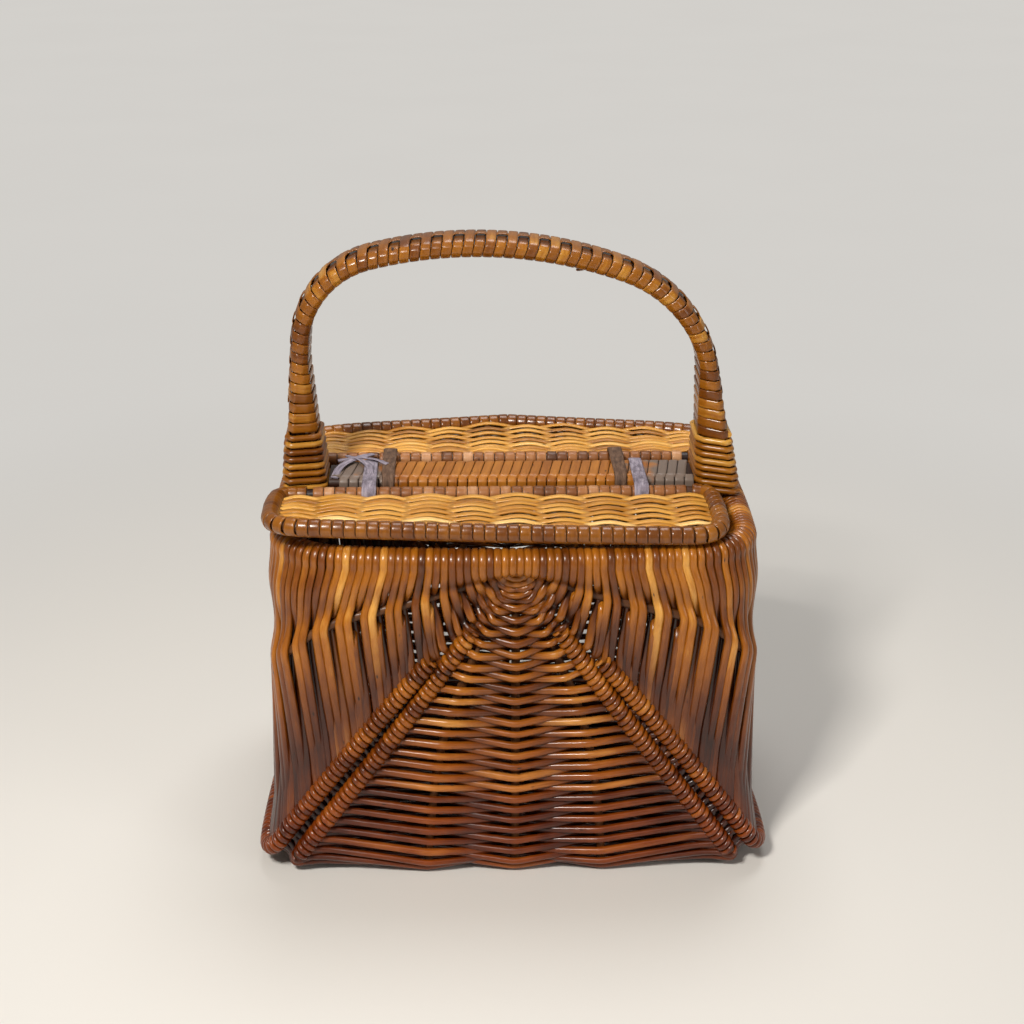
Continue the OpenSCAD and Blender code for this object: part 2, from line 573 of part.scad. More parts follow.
stake_z = -1.5;
stake_reach = lid_x - 14;
lid_in = lid_border_r + seat;
module rod_between(a, b, r) translate(a)
    rotate([0, acos((b - a).z / norm(b - a)), atan2((b - a).y, (b - a).x)]) cylinder(r = r, h = norm(b - a), $fn = 16);
function stake_at(i) = stake_reach * (2 * i / (lid_stakes - 1) - 1);
tie_clear = tie_in + tie_t + 2 * seat;
module lid_stakes_at(warp, ties) {
    for (i = [0:lid_stakes - 1]) let(x = stake_at(i),
        near_tie = len([for (t = ties) if (abs(x - t) < tie_w / 2 + stake_r + 2 * seat) t]) > 0)
        rod_between(lid_point(x, hinge_y + (near_tie ? tie_clear : hinge_r + seat), stake_z, warp),
            lid_point(x, front_at(x) - lid_in - stake_r, stake_z, warp), stake_r);
}
panel_low = stake_z + stake_r + seat;
panel_high = [1.6, 5, 2.9];
module lid_weave(warp) {
    v0 = hinge_y + tie_clear;
    n = 2 * lid_rows;
    us = [-1, for (i = [0:lid_stakes - 1]) stake_at(i) / (lid_x - lid_in), 1];
    function at(u, t, z) = let(v = lerp(v0, corner_v - lid_in, t), x = u * (side_at(v) - lid_in))
        lid_point(x, v + (front_at(x) - corner_v) * t * t, z, warp);
    outer = [for (i = [0:n]) [for (j = [0:len(us) - 1])
        at(us[j], i / n, i % 2 == 0 ? panel_high[0] : panel_high[1 + (floor(i / 2) + j) % 2])]];
    inner = [for (r = [0:ceil(n / coarse)]) [for (u = us) at(u, min(r * coarse, n) / n, panel_low)]];
    shell(outer, inner, coarse);
}
module front_place() translate([-front_lid_shift, 0, 0]) children();
module rear_place() rotate([0, 0, 180]) children();
front_ties = [front_lid_shift - tie_left, front_lid_shift + tie_right];
rear_ties = [tie_left - tie_w - tie_apart, tie_w + tie_apart - tie_right];
module front_lid_hinge_rod() color("peru") front_place() lid_hinge_rod();
module front_lid_border() color("peru") front_place() lid_border(front_lid_warp);
module front_lid_stakes() color("sienna") front_place() lid_stakes_at(front_lid_warp, front_ties);
module front_lid_weave() color("gold") front_place() lid_weave(front_lid_warp);
module front_lid_wraps() color("orange") front_place() lid_wraps(front_lid_warp);
module rear_lid_hinge_rod() color("peru") rear_place() lid_hinge_rod();
module rear_lid_border() color("peru") rear_place() lid_border(rear_lid_warp);
module rear_lid_stakes() color("sienna") rear_place() lid_stakes_at(rear_lid_warp, rear_ties);
module rear_lid_weave() color("gold") rear_place() lid_weave(rear_lid_warp);
module rear_lid_wraps() color("orange") rear_place() lid_wraps(rear_lid_warp);

rim_hoop();
rim_wraps();
keel_rib();
inner_rib_left();
inner_rib_right();
corner_rib_left();
corner_rib_right();
low_side_rib_left();
low_side_rib_right();
high_side_rib_left();
high_side_rib_right();
front_ear();
rear_ear();
front_weave();
rear_weave();
left_side_weave();
right_side_weave();
base_weave();
handle_bow();
handle_wrap();
handle_leader();
left_braces();
right_braces();
left_foot_binding();
right_foot_binding();
bridge_bar();
bridge_wrap();
front_tie_left();
front_tie_right();
rear_tie_left();
rear_tie_right();
front_lid_hinge_rod();
front_lid_border();
front_lid_stakes();
front_lid_weave();
front_lid_wraps();
rear_lid_hinge_rod();
rear_lid_border();
rear_lid_stakes();
rear_lid_weave();
rear_lid_wraps();
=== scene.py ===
import math
from functools import partial
import bpy
import numpy as np
from mathutils import Matrix, Vector


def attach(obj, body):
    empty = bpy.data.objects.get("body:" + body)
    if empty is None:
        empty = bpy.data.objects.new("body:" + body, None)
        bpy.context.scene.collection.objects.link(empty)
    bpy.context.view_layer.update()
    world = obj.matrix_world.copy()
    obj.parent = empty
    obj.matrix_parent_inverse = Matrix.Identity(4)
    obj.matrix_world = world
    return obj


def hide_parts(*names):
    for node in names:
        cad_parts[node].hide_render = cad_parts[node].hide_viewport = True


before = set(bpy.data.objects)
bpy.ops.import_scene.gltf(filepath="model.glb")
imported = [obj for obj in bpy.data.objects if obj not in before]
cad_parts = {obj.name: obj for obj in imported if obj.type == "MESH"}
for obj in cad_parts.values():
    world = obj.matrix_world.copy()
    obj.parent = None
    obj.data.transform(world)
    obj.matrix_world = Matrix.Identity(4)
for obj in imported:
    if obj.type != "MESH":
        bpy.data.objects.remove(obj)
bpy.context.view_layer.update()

# A two-lidded wicker basket. Lengths are in millimetres until a piece is written, and then in metres.
mm = 0.001
up = np.array([0, 0, 1.0])
rng = np.random.default_rng(7)


def unit(v):  # every row divided by its length
    return v / np.maximum(np.linalg.norm(v, axis=-1, keepdims=True), 1e-9)


def camel(name):  # front_ear becomes frontEar
    head, *rest = name.split("_")
    return head + "".join(word.capitalize() for word in rest)


def lerp(a, b, t):  # a plus t times the way to b
    return a + (b - a) * t


def smooth(t):  # 0 to 1 with level ends: three t squared less two t cubed
    t = np.clip(t, 0, 1)
    return t * t * (3 - 2 * t)


def columns(x, known, p):  # the rows of p stand at the places known, and are read at x
    return np.stack([np.interp(x, known, p[:, a]) for a in range(p.shape[1])], -1)


def lengths(p):  # distance along a line of points
    return np.concatenate([[0], np.cumsum(np.linalg.norm(np.diff(p, axis=0), axis=1))])


def along(p, s):  # points at the distances s along the line p
    return columns(s, lengths(p), p)


def cutCorners(p, rounds):  # each corner is cut at a quarter of its two sides, again and again
    p = np.asarray(p, float)
    for _ in range(rounds):
        inner = np.stack([lerp(p[:-1], p[1:], 0.25), lerp(p[:-1], p[1:], 0.75)], 1).reshape(-1, p.shape[1])
        p = np.vstack([p[:1], inner, p[-1:]])
    return p


def soften(p, sigma):  # the evenly spaced line p times a bell curve of sigma samples, with its ends held
    if sigma < 0.3:
        return p
    reach = int(3 * sigma) + 1
    bell = np.exp(-0.5 * (np.arange(-reach, reach + 1) / sigma) ** 2)
    bell /= bell.sum()
    padded = np.vstack([2 * p[:1] - p[reach:0:-1], p, 2 * p[-1:] - p[-2:-reach - 2:-1]])
    return np.stack([np.convolve(padded[:, a], bell, "valid") for a in range(p.shape[1])], -1)


def wobble(n, waves, amount):  # a sum of random cosines, each weaker by the root of its number
    x = np.linspace(0, 1, n)
    w = sum(rng.normal() * np.cos(np.pi * k * x + rng.uniform(0, 6.3)) / k ** 0.5 for k in range(1, waves + 1))
    return amount * w / math.sqrt(waves)


def nearEnds(s, reach):  # 0 at both ends of the lengths s, 1 from reach inwards
    return smooth(np.minimum(s, s[-1] - s) / reach)


# A strand is a rounded section carried along a path, with its flat side facing out. A ring's points are
# path + side x wide x c + out x deep x s, where c and s are cosine and sine to the power of 2 / square.
def strand(path, out, wide, deep, sides=8, square=2.0, tone=0.5, wear=0.0, start=0.0, closed=False):
    path = np.asarray(path, float)
    n = len(path)
    difference = lambda p: np.roll(p, -1, 0) - np.roll(p, 1, 0) if closed else np.gradient(p, axis=0)
    ahead = unit(difference(path))
    out = unit(out - ahead * np.sum(out * ahead, -1, keepdims=True))
    side = np.cross(ahead, out)
    a = 2 * np.pi * (np.arange(sides) + 0.5) / sides
    c = np.sign(np.cos(a)) * np.abs(np.cos(a)) ** (2 / square)
    s = np.sign(np.sin(a)) * np.abs(np.sin(a)) ** (2 / square)
    wide, deep = (np.broadcast_to(size, n)[:, None, None] for size in (wide, deep))
    v = path[:, None] + side[:, None] * wide * c[:, None] + out[:, None] * deep * s[:, None]
    normal = unit(np.cross(difference(v), np.roll(v, -1, 1) - np.roll(v, 1, 1)))
    return {"v": v, "normal": normal, "u": lengths(path) * mm + start, "closed": closed,
            "tone": np.broadcast_to(tone, n), "wear": np.broadcast_to(wear, n)}


# Quads join the rings, and a flat cap closes each open end. The map "strand" holds metres along the strand and the
# share of a turn round it. Normals are the strand's own, so that a strand cut in two pieces shows no seam.
def meshOf(name, strands):
    parts = {key: [] for key in ("co", "corner", "size", "flat", "uv", "normal", "tone", "wear")}
    base = 0
    for st in strands:
        n, m = st["v"].shape[:2]
        i = np.arange(n if st["closed"] else n - 1)[:, None]
        j = np.arange(m)[None]
        i2, j2 = (i + 1) % n, (j + 1) % m
        quads = np.stack([i * m + j, i2 * m + j, i2 * m + j2, i * m + j2], -1).reshape(-1)
        ua, ub = st["u"][i] + 0 * j, st["u"][np.minimum(i + 1, n - 1)] + 0 * j
        va, vb = (j + 0 * i) / m, (j + 1 + 0 * i) / m
        uv = np.stack([np.stack([ua, ub, ub, ua], -1), np.stack([va, va, vb, vb], -1)], -1).reshape(-1, 2)
        faces = len(quads) // 4
        new = {"co": st["v"].reshape(-1, 3) * mm, "corner": quads + base, "size": np.full(faces, 4),
               "flat": np.zeros(faces, bool), "uv": uv, "normal": st["normal"].reshape(-1, 3)[quads],
               "tone": np.repeat(st["tone"], m), "wear": np.repeat(st["wear"], m)}
        if not st["closed"]:
            ring = np.arange(m)
            caps = {"corner": np.concatenate([ring, (n - 1) * m + ring[::-1]]) + base, "size": [m, m],
                    "flat": [True, True], "uv": np.column_stack([np.repeat(st["u"][[0, -1]], m), np.tile(ring / m, 2)]),
                    "normal": np.zeros((2 * m, 3))}  # a zero normal leaves the cap flat
            new.update({key: np.concatenate([new[key], value]) for key, value in caps.items()})
        for key in parts:
            parts[key].append(new[key])
        base += n * m
    whole = {key: np.concatenate(value) for key, value in parts.items()}
    firsts = np.cumsum(whole["size"]) - whole["size"]
    mesh = bpy.data.meshes.new(name)
    for items, key, values in ((mesh.vertices, "co", whole["co"].astype(np.float32)),
                               (mesh.loops, "vertex_index", whole["corner"].astype(np.int32)),
                               (mesh.polygons, "loop_start", firsts.astype(np.int32))):
        items.add(len(values))
        items.foreach_set(key, values.reshape(-1))
    mesh.update(calc_edges=True)
    mesh.polygons.foreach_set("use_smooth", ~whole["flat"])
    layer = mesh.uv_layers.new(name="strand")
    layer.data.foreach_set("uv", whole["uv"].reshape(-1).astype(np.float32))
    for label in ("tone", "wear"):
        attribute = mesh.attributes.new(label, "FLOAT", "POINT")
        attribute.data.foreach_set("value", whole[label].astype(np.float32))
    mesh.validate()
    mesh.normals_split_custom_set(whole["normal"].astype(np.float32))
    return mesh


def addObject(name, data):
    obj = bpy.data.objects.new(name, data)
    bpy.context.scene.collection.objects.link(obj)
    return obj


def piece(name, strands, material, slotName, *nodes, body="basket"):  # nodes: what it stands for in the frame
    obj = addObject(name, meshOf(name, strands))
    obj.data.materials.append(material)
    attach(obj, body)
    if nodes:
        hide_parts(*nodes)


def linear(h):  # sRGB hex to linear: a part plus 0.055, over 1.055, to the power of 2.4; over 12.92 where it is dark
    c = np.array([int(h[i:i + 2], 16) for i in (1, 3, 5)]) / 255
    c = np.where(c <= 0.04045, c / 12.92, ((c + 0.055) / 1.055) ** 2.4)
    return (*c.tolist(), 1.0)


def addNode(tree, kind, settings, out=0):  # a value that is another node's socket is linked, any other is set
    node = tree.nodes.new("ShaderNode" + kind)
    for key, value in settings.items():
        if isinstance(value, bpy.types.NodeSocket):
            tree.links.new(value, node.inputs[key])
        elif key == "stops":
            cells = node.color_ramp.elements
            while len(cells) < len(value):
                cells.new(0.5)
            for cell, (place, colour) in zip(cells, value):
                cell.position, cell.color = place, linear(colour)
        elif isinstance(key, str) and key not in node.inputs:
            setattr(node, key, value)
        else:
            node.inputs[key].default_value = value
    return node.outputs[out] if node.outputs else node


def emptied(owner):  # addNode for the owner's own tree, which is empty then
    owner.use_nodes = True
    owner.node_tree.nodes.clear()
    return partial(addNode, owner.node_tree)


# Varnished wood in strands. A strand's colour is looked up among its tones: its own tone, plus streaks along it, plus
# blotches. Where its wear value is high it is darker: painted shade where a strand goes under or lies deep, and
# dust and varnish gathered on the rest, with specks where buds were cut off.
# Patterns are counted per metre: 60 is a streak of 17 mm, 38 a blotch of 26 mm, 55 a grey patch of 18 mm, and buds are
# 22 mm apart. The wood's own grain is too fine to show: the streaks are drawn coarser than it.
wood = {"streakLift": (0.55, -0.28), "blotches": 38.0, "blotchLift": (0.5, -0.25), "buds": (45, 2), "bud": "#2a1206",
        "budEdge": (0.04, 0.09), "bump": 0.25, "bumpDeep": 0.6, "ior": 1.4, "coatRough": 0.2, "rough": (-0.1, 0.16),
        "patches": 55.0, "patchEdge": (0.5, 0.66), "patchEnds": (-0.25, 0.5),
        "stops": {3: (0.0, 0.5, 1.0), 4: (0.0, 0.35, 0.7, 1.0)}}
cover, multiplyMix = {"data_type": "RGBA"}, {"data_type": "RGBA", "blend_type": "MULTIPLY"}


def woodMaterial(name, tones, dirt, roughness=0.42, coat=0.35, streak=(60, 5), low=None, grey=None):
    material = bpy.data.materials.new(name)
    add = emptied(material)
    uv = add("UVMap", {"uv_map": "strand"})
    tone, wear = [add("Attribute", {"attribute_name": key}, "Fac") for key in ("tone", "wear")]
    place = add("TexCoord", {}, "Object")
    stretched = add("Mapping", {"Scale": (*streak, 1), "Vector": uv})
    streaks = add("TexNoise", {"Scale": 1.0, "Detail": 5.0, "Roughness": 0.62, "Vector": stretched}, "Fac")
    blotches = add("TexNoise", {"Scale": wood["blotches"], "Detail": 3.0, "Vector": place}, "Fac")
    for pattern, (times, plus) in ((streaks, wood["streakLift"]), (blotches, wood["blotchLift"])):
        part = add("Math", {"operation": "MULTIPLY_ADD", 0: pattern, 1: times, 2: plus})
        tone = add("Math", {"operation": "ADD", 0: tone, 1: part})
    colour = add("ValToRGB", {0: tone, "stops": tuple(zip(wood["stops"][len(tones)], tones))})
    if low:  # darker and redder towards the bottom
        height = add("SeparateXYZ", {0: place}, 2)
        share = add("MapRange", {"Value": height, "From Min": low["from"], "From Max": low["to"],
                                           "To Min": low["share"], "To Max": 0.0})
        colour = add("Mix", {**multiplyMix, 0: share, 6: colour, 7: linear(low["colour"])}, 2)
    # painted shade and real dirt: multiplied by the dirt colour as far as the wear value goes, which is painted shade
    # where a strand goes under
    colour = add("Mix", {**multiplyMix, 0: wear, 6: colour, 7: linear(dirt)}, 2)
    if grey:  # weathered at the ends, where the varnish is gone
        patch = add("TexNoise", {"Scale": wood["patches"], "Detail": 4.0, "Vector": place}, "Fac")
        across = add("SeparateXYZ", {0: place})
        ends = add("Math", {"operation": "ABSOLUTE", 0: across})
        ends = add("MapRange", {"Value": ends, "From Min": grey["from"], "From Max": grey["to"],
                                          "To Min": wood["patchEnds"][0], "To Max": wood["patchEnds"][1]})
        amount = add("Math", {"operation": "ADD", 0: patch, 1: ends})
        amount = add("ValToRGB", {0: amount, "stops": tuple(zip(wood["patchEdge"], ("#000000", "#ffffff")))})
        colour = add("Mix", {**cover, 0: amount, 6: colour, 7: linear(grey["colour"])}, 2)
    spots = add("Mapping", {"Scale": (*wood["buds"], 1), "Vector": uv})
    spots = add("TexVoronoi", {"Scale": 1.0, "Vector": spots}, "Distance")
    bud = add("ValToRGB", {0: spots, "stops": tuple(zip(wood["budEdge"], ("#ffffff", "#000000")))})
    colour = add("Mix", {**cover, 0: bud, 6: colour, 7: linear(wood["bud"])}, 2)
    least, most = (roughness + change for change in wood["rough"])
    rough = add("MapRange", {"Value": blotches, "To Min": least, "To Max": most})
    relief = add("Bump", {"Strength": wood["bump"], "Distance": wood["bumpDeep"] * mm, "Height": streaks})
    shader = add("BsdfPrincipled", {
        "Base Color": colour, "Roughness": rough, "Normal": relief, "IOR": wood["ior"], "Coat Weight": coat,
        "Coat Roughness": wood["coatRough"]})
    add("OutputMaterial", {"Surface": shader})
    return material


# peeled willow rods, stained and varnished: brown with honey lights, darker and redder towards the bottom; the dirt
# colour also paints shade where they go under
willow = {"tones": ("#341401", "#733a04", "#ad6815", "#e0a650"), "dirt": "#6b3d16", "roughness": 0.3, "coat": 0.36,
          "low": {"colour": "#bc8b61", "from": 0.04, "to": 0.205, "share": 0.95}}
bodyWillow = woodMaterial("varnishedWillow", **willow)
rimWillow = woodMaterial("varnishedWillowRim", **willow)
# rods with their stain but little varnish: dull and dark between the weavers
ribWood = woodMaterial("stainedRibRod", ("#2c1408", "#57300f", "#8a5a30"), "#6b4a30", roughness=0.5, coat=0.15)
# cane split and shaved flat, then varnished: shiny, with a short grain
handleCane = woodMaterial("varnishedSplitCane", ("#3f1b01", "#6e3a03", "#9b5e0d", "#d29b3e"), "#5e3a18",
                          roughness=0.3, coat=0.4, streak=(45, 9))
# the same cane on the bar, worn by hands and ties: orange, and grey at both ends
barCane = woodMaterial("wornSplitCane", ("#683408", "#9a5a14", "#bc7826", "#daa458"), "#5e3a18", coat=0.2,
                       streak=(45, 9), grey={"colour": "#75655a", "from": 0.066, "to": 0.115})
# split willow, its pale inside showing: golden, with dark crossings
lidWillow = woodMaterial("goldenSplitWillow", ("#74430e", "#b87924", "#e0a64a", "#f6cd84"), "#3c210a",
                         roughness=0.36, coat=0.25, streak=(50, 8))
# cane round the hinge rods, faded and dull
hingeCane = woodMaterial("fadedSplitCane", ("#4c2a12", "#7e4a20", "#a46a38", "#cf9d72"), "#5c3a22",
                         roughness=0.46, coat=0.2, streak=(45, 9))

# Bark-tanned leather lace, dried out: cracks 11 mm long and a ninth of the lace's girth wide, which run along it.
lace = {"cracks": (90, 9), "stops": (0.3, 0.5, 0.68), "bump": 0.6, "bumpDeep": 0.6, "rough": 0.72, "ior": 1.45}


def leatherMaterial(name, tones):
    material = bpy.data.materials.new(name)
    add = emptied(material)
    uv = add("UVMap", {"uv_map": "strand"})
    stretched = add("Mapping", {"Scale": (*lace["cracks"], 1), "Vector": uv})
    cracks = add("TexNoise", {"Scale": 1.0, "Detail": 6.0, "Roughness": 0.7, "Vector": stretched}, "Fac")
    colour = add("ValToRGB", {0: cracks, "stops": tuple(zip(lace["stops"], tones))})
    relief = add("Bump", {"Strength": lace["bump"], "Distance": lace["bumpDeep"] * mm, "Height": cracks})
    shader = add("BsdfPrincipled", {"Base Color": colour, "Normal": relief, "Roughness": lace["rough"],
                                              "IOR": lace["ior"]})
    add("OutputMaterial", {"Surface": shader})
    return material


greyLeather = leatherMaterial("weatheredLeather", ("#4a434c", "#857c89", "#b5adb8"))
brownLeather = leatherMaterial("tannedLeather", ("#2e1d12", "#5c4230", "#806450"))
print("materials made")

# The body's surface, as in the frame: a bowed rim, and half ribs from each ear down the wall and in under the base.
body = {
    "rimW": 320, "rimD": 240, "rimZ": 226,  # over the turns; the height of the rim rod's middle
    "rodR": 6, "turnT": 3.3,  # the rim rod, and the turns over it
    "cornerR": 42, "bowR": 900, "bulge": 1.5,  # the rim's corners, the bow of its front, and how far its sides swell
    "rows": 50, "wallRows": 34,  # weavers to a half, and those that cross the wall
    "baseW": 338, "baseD": 236, "rise": 2.4,  # under the weave
    "edgeStep": 24.6, "bend": 24, "sideLead": 50, "lowRound": 8, "highRound": 6, "seat": 0.3}
rows, seat = body["rows"], body["seat"]
wrapR = body["rodR"] + seat + body["turnT"]
hoopX, hoopY = body["rimW"] / 2 - wrapR, body["rimD"] / 2 - wrapR
bowR, cornerR = body["bowR"], body["cornerR"]
bowTurn = math.asin((hoopX - cornerR - body["bulge"]) / (bowR - cornerR))
cornerX = (bowR - cornerR) * math.sin(bowTurn)
cornerY = hoopY - bowR + (bowR - cornerR) * math.cos(bowTurn)
cornerIn = cornerX - hoopX
sideR = (cornerR ** 2 - cornerIn ** 2 - cornerY ** 2) / (2 * (cornerIn + cornerR))
sideTurn = math.asin(cornerY / (sideR - cornerR))
bowLen, cornerLen, sideLen = bowR * bowTurn, cornerR * (math.pi / 2 - bowTurn - sideTurn), sideR * sideTurn
quarterLen = bowLen + cornerLen + sideLen
rimTop = body["rimZ"] + wrapR


def rimQuarter(s):  # three arcs that meet without a kink, bowed front, corner and side, from the front middle on
    s = np.asarray(s, float)
    a, b = s / bowR, bowTurn + (s - bowLen) / cornerR
    c = math.pi / 2 - sideTurn + (s - bowLen - cornerLen) / sideR
    arcs = [s < bowLen, s < bowLen + cornerLen]
    x = np.select(arcs, [bowR * np.sin(a), cornerX + cornerR * np.sin(b)], hoopX - sideR + sideR * np.sin(c))
    y = np.select(arcs, [-hoopY + bowR * (1 - np.cos(a)), -cornerY - cornerR * np.cos(b)], -sideR * np.cos(c))
    return np.stack([x, y], -1)


# five half ribs and the rim's quarter, each in 201 even steps from the ear to the middle
fy, fz, bend = -body["baseD"] / 2 + body["rise"], body["rise"], body["bend"]
ez = body["rimZ"] - body["rodR"] - 2 * seat
sx = body["baseW"] / 2 - body["rise"]
fx = sx - body["edgeStep"]
ear = [0, -hoopY, ez]
lead, lo, hi = body["sideLead"], body["lowRound"], body["highRound"]
z = lambda share: fz + (ez - fz) * share
ribs = [
    [ear, [0, fy, z(.5)], [0, fy, z(.06)], [0, fy + 1, fz], [0, fy + bend, fz], [0, 0, fz]],
    [ear, [fx * .17, fy, z(.76)], [fx * .35, fy, z(.45)], [fx * .41, fy, z(.06)], [fx * .41, fy + 1, fz],
     [fx * .41, fy + bend, fz], [fx * .41, 0, fz]],
    [ear, [fx * .52, fy, z(.5)], [fx * 1.02, fy, z(.06)], [fx * 1.06, fy + 1, fz], [fx * 1.03, fy + bend, fz],
     [fx, 0, fz]],
    [ear, [sx * .46, fy, z(.6)], [sx * .82, fy, z(.24)], [sx * 1.01, fy + lo - 4, z(.04)],
     [sx * 1.01, fy + lead, z(.06)], [sx, 0, z(.05)]],
    [ear, [sx * .4, fy, z(.9)], [sx * .72, fy, z(.85)], [sx * .93, fy + hi, z(.72)], [sx * .95, fy + lead, z(.68)],
     [sx * .95, 0, z(.67)]]]
curves = [cutCorners(r, 4) for r in ribs]
quarter = rimQuarter(np.linspace(0, quarterLen, 60))
curves.append(np.column_stack([quarter, np.full(60, ez)]))
halfGrid = np.stack([along(c, np.linspace(0, lengths(c)[-1], 201)) for c in curves])
rowStep = np.array([lengths(curve)[-1] for curve in halfGrid]) / rows


# Column j runs from -5 to 5, rim to rim, and row k from 0 at the front ear to 100 at the rear ear. A point lies on a
# straight line between the two nearest half ribs, both read at the row.
def weavePoint(j, k):
    j, k = np.broadcast_arrays(np.asarray(j, float), np.asarray(k, float))
    t = (1 - np.abs(1 - k / rows)) * 200
    i = np.clip(t.astype(int), 0, 199)
    f = (t - i)[..., None]
    a = np.abs(j)
    c = np.clip(a.astype(int), 0, 4)
    g = (a - c)[..., None]
    p = lerp(lerp(halfGrid[c, i], halfGrid[c, i + 1], f), lerp(halfGrid[c + 1, i], halfGrid[c + 1, i + 1], f), g)
    return np.stack([np.sign(j) * p[..., 0], np.where(k <= rows, 1, -1) * p[..., 1], p[..., 2]], -1)


def weaveNormal(j, k):  # the direction across three rows, crossed with the mean direction to both sides
    j, k = np.broadcast_arrays(np.asarray(j, float), np.asarray(k, float))
    lengthwise = weavePoint(j, np.minimum(k + 1.5, 2 * rows)) - weavePoint(j, np.maximum(k - 1.5, 0))
    p = weavePoint(j, k)
    across = unit(weavePoint(np.minimum(j + .3, 5), k) - p) + unit(p - weavePoint(np.maximum(j - .3, -5), k))
    return unit(np.cross(lengthwise, across))


# Weavers. Each follows one row. Its distance from the surface is drawn in straight lines between its places over and
# under the ribs, and then blurred along its length, as a stiff rod bends.
weave = {
    "radius": 2.32, "flat": 0.93, "samples": 300, "fineSamples": 600,
    "middle": -4.0, "lift": 4.3, "blur": 2.4,  # the weavers' mean depth, how far they go in and out, and the blur
    "wallShare": 0.607,  # rows of the front wall lie this much closer than the rows of the sides
    "rimWide": 2.5, "rimDeep": 1.7, "rimCut": 52,  # a turn over the rim, and where its piece ends
    "arc": (-20, 236, 34), "tail": (9, 5),  # the turn in degrees, and its end inside the rim, with their rings
    "ropeFrom": (5, 9), "ropeOver": 4, "rope": 0.1, "dip": -0.8, "earRows": (5, 9),
    "tuck": -1.6, "taper": 9, "tone": 0.48, "toneLift": 0.16}
ribAt = np.array([0, 1, 1.78, 2, 2.3, 2.7, 3, 3.25, 4, 4.55, 5])


def wallRow(i):  # the row that through weaver i takes on the front wall, with two short weavers after every third
    return i + 2 * (i // 3)


def spacing(k):  # distance from each rib to the next at a row, which limits how far a weaver can bend between them
    d = np.linalg.norm(np.diff(weavePoint(np.arange(-5, 6), k), axis=0), axis=1)
    return np.interp(np.arange(-5, 6), np.arange(-4.5, 5), d)


# Over (1) and under (-1) each rib in turn. Every row goes over the corner rib and the low side rib, where the weavers
# lie side by side like the strands of a rope. Near the ear both lessen with the space between the ribs.
def liftOf(j, r, rear, kSide, sideSign):
    sign = 1 if (r + rear) % 2 == 0 else -1
    rope2, rope3 = (smooth((kSide - first) / weave["ropeOver"]) for first in weave["ropeFrom"])
    top, dip = weave["rope"], weave["dip"]
    at = [sign, -sign, lerp(0.56 * sign, dip if sign > 0 else -0.1, rope2), lerp(sign, top, rope2),
          lerp(0.4 * sign, dip, rope2 * rope3), lerp(-0.4 * sideSign, dip, rope2 * rope3), lerp(-sideSign, top, rope3),
          lerp(-0.5 * sideSign, dip * 0.6, rope3), sideSign, 0.1, 0.0]
    tight = np.interp(j, np.arange(-5, 6), np.clip((spacing(kSide) - 4) / 12, 0.1, 1))
    return np.interp(np.abs(j), ribAt, at) * tight, tight


def rowPath(r, kSide, rear, reach, sideSign):  # a row's number goes from the wall's in the middle to the side's
    n = weave["fineSamples"]
    kWall = (r + 0.5) * weave["wallShare"]
    j = np.linspace(-reach, reach, n)
    a = np.abs(j)
    k = lerp(kWall, kSide, smooth((a - 1.9) / 1.3))
    level = lerp(kWall * rowStep[0], kSide * rowStep[5], smooth(a / 5)) / np.interp(a, np.arange(6), rowStep)
    first, over = weave["earRows"]
    k = lerp(level, k, smooth((kSide - first) / over))  # near the ear a row is a round U, everywhere as far from it
    k = k + wobble(n, 9, 0.10) * lerp(1, 0.35, smooth(a - 3))
    lean = 0.16 * smooth((body["wallRows"] - kSide) / 6)  # over the high rib a strand leans to the one under it
    k -= lean * sideSign * np.exp(-((a - 4) / 0.35) ** 2)
    k = np.minimum(k, rows)
    k = 2 * rows - k if rear else k
    return (j, weavePoint(j, k), weaveNormal(j, k), *liftOf(j, r, rear, kSide, sideSign))


def offGround(path, wide):  # a height below 3 mm over the strand's radius is bent up by log(1 + exp)
    low = wide + 0.15
    path[:, 2] = np.where(path[:, 2] < low + 3, low + np.log1p(np.exp((path[:, 2] - low) * 2)) / 2, path[:, 2])
    return path


# The path is blurred evenly along its length, except where held is 1, and cut into n rings that lie closer where
# dense is high. Other values along the path are read at the same rings.
def placed(path, out, dense, n, held, values):
    total = lengths(path)
    s = np.linspace(0, total[-1], 4 * n)
    fine = columns(s, total, path)
    fine = lerp(soften(fine, weave["blur"] / s[1]), fine, np.interp(s, total, held)[:, None])
    fine = soften(fine, 0.9 / s[1])
    out = soften(unit(columns(s, total, out)), 3 / s[1])
    share = np.cumsum(1 + 1.7 * np.interp(s, total, dense))
    pick = np.interp(np.linspace(share[0], share[-1], n), share, s)
    return (columns(pick, s, fine), unit(columns(pick, s, out)), pick,
            [np.interp(pick, total, value) for value in values])


def toneOf(n, spread, lift):  # lighter where it goes over: painted light on the raised parts, and wear from hands there
    return np.clip(rng.normal(weave["tone"], spread) + wobble(n, 4, 0.07) + weave["toneLift"] * lift, 0.03, 0.98)


def shadeAndWearOf(tight, lift):  # painted shade: darker where it goes under; also darker where the ribs stand far apart
    return np.clip(0.4 * tight - 0.6 * lift, 0, 0.75)


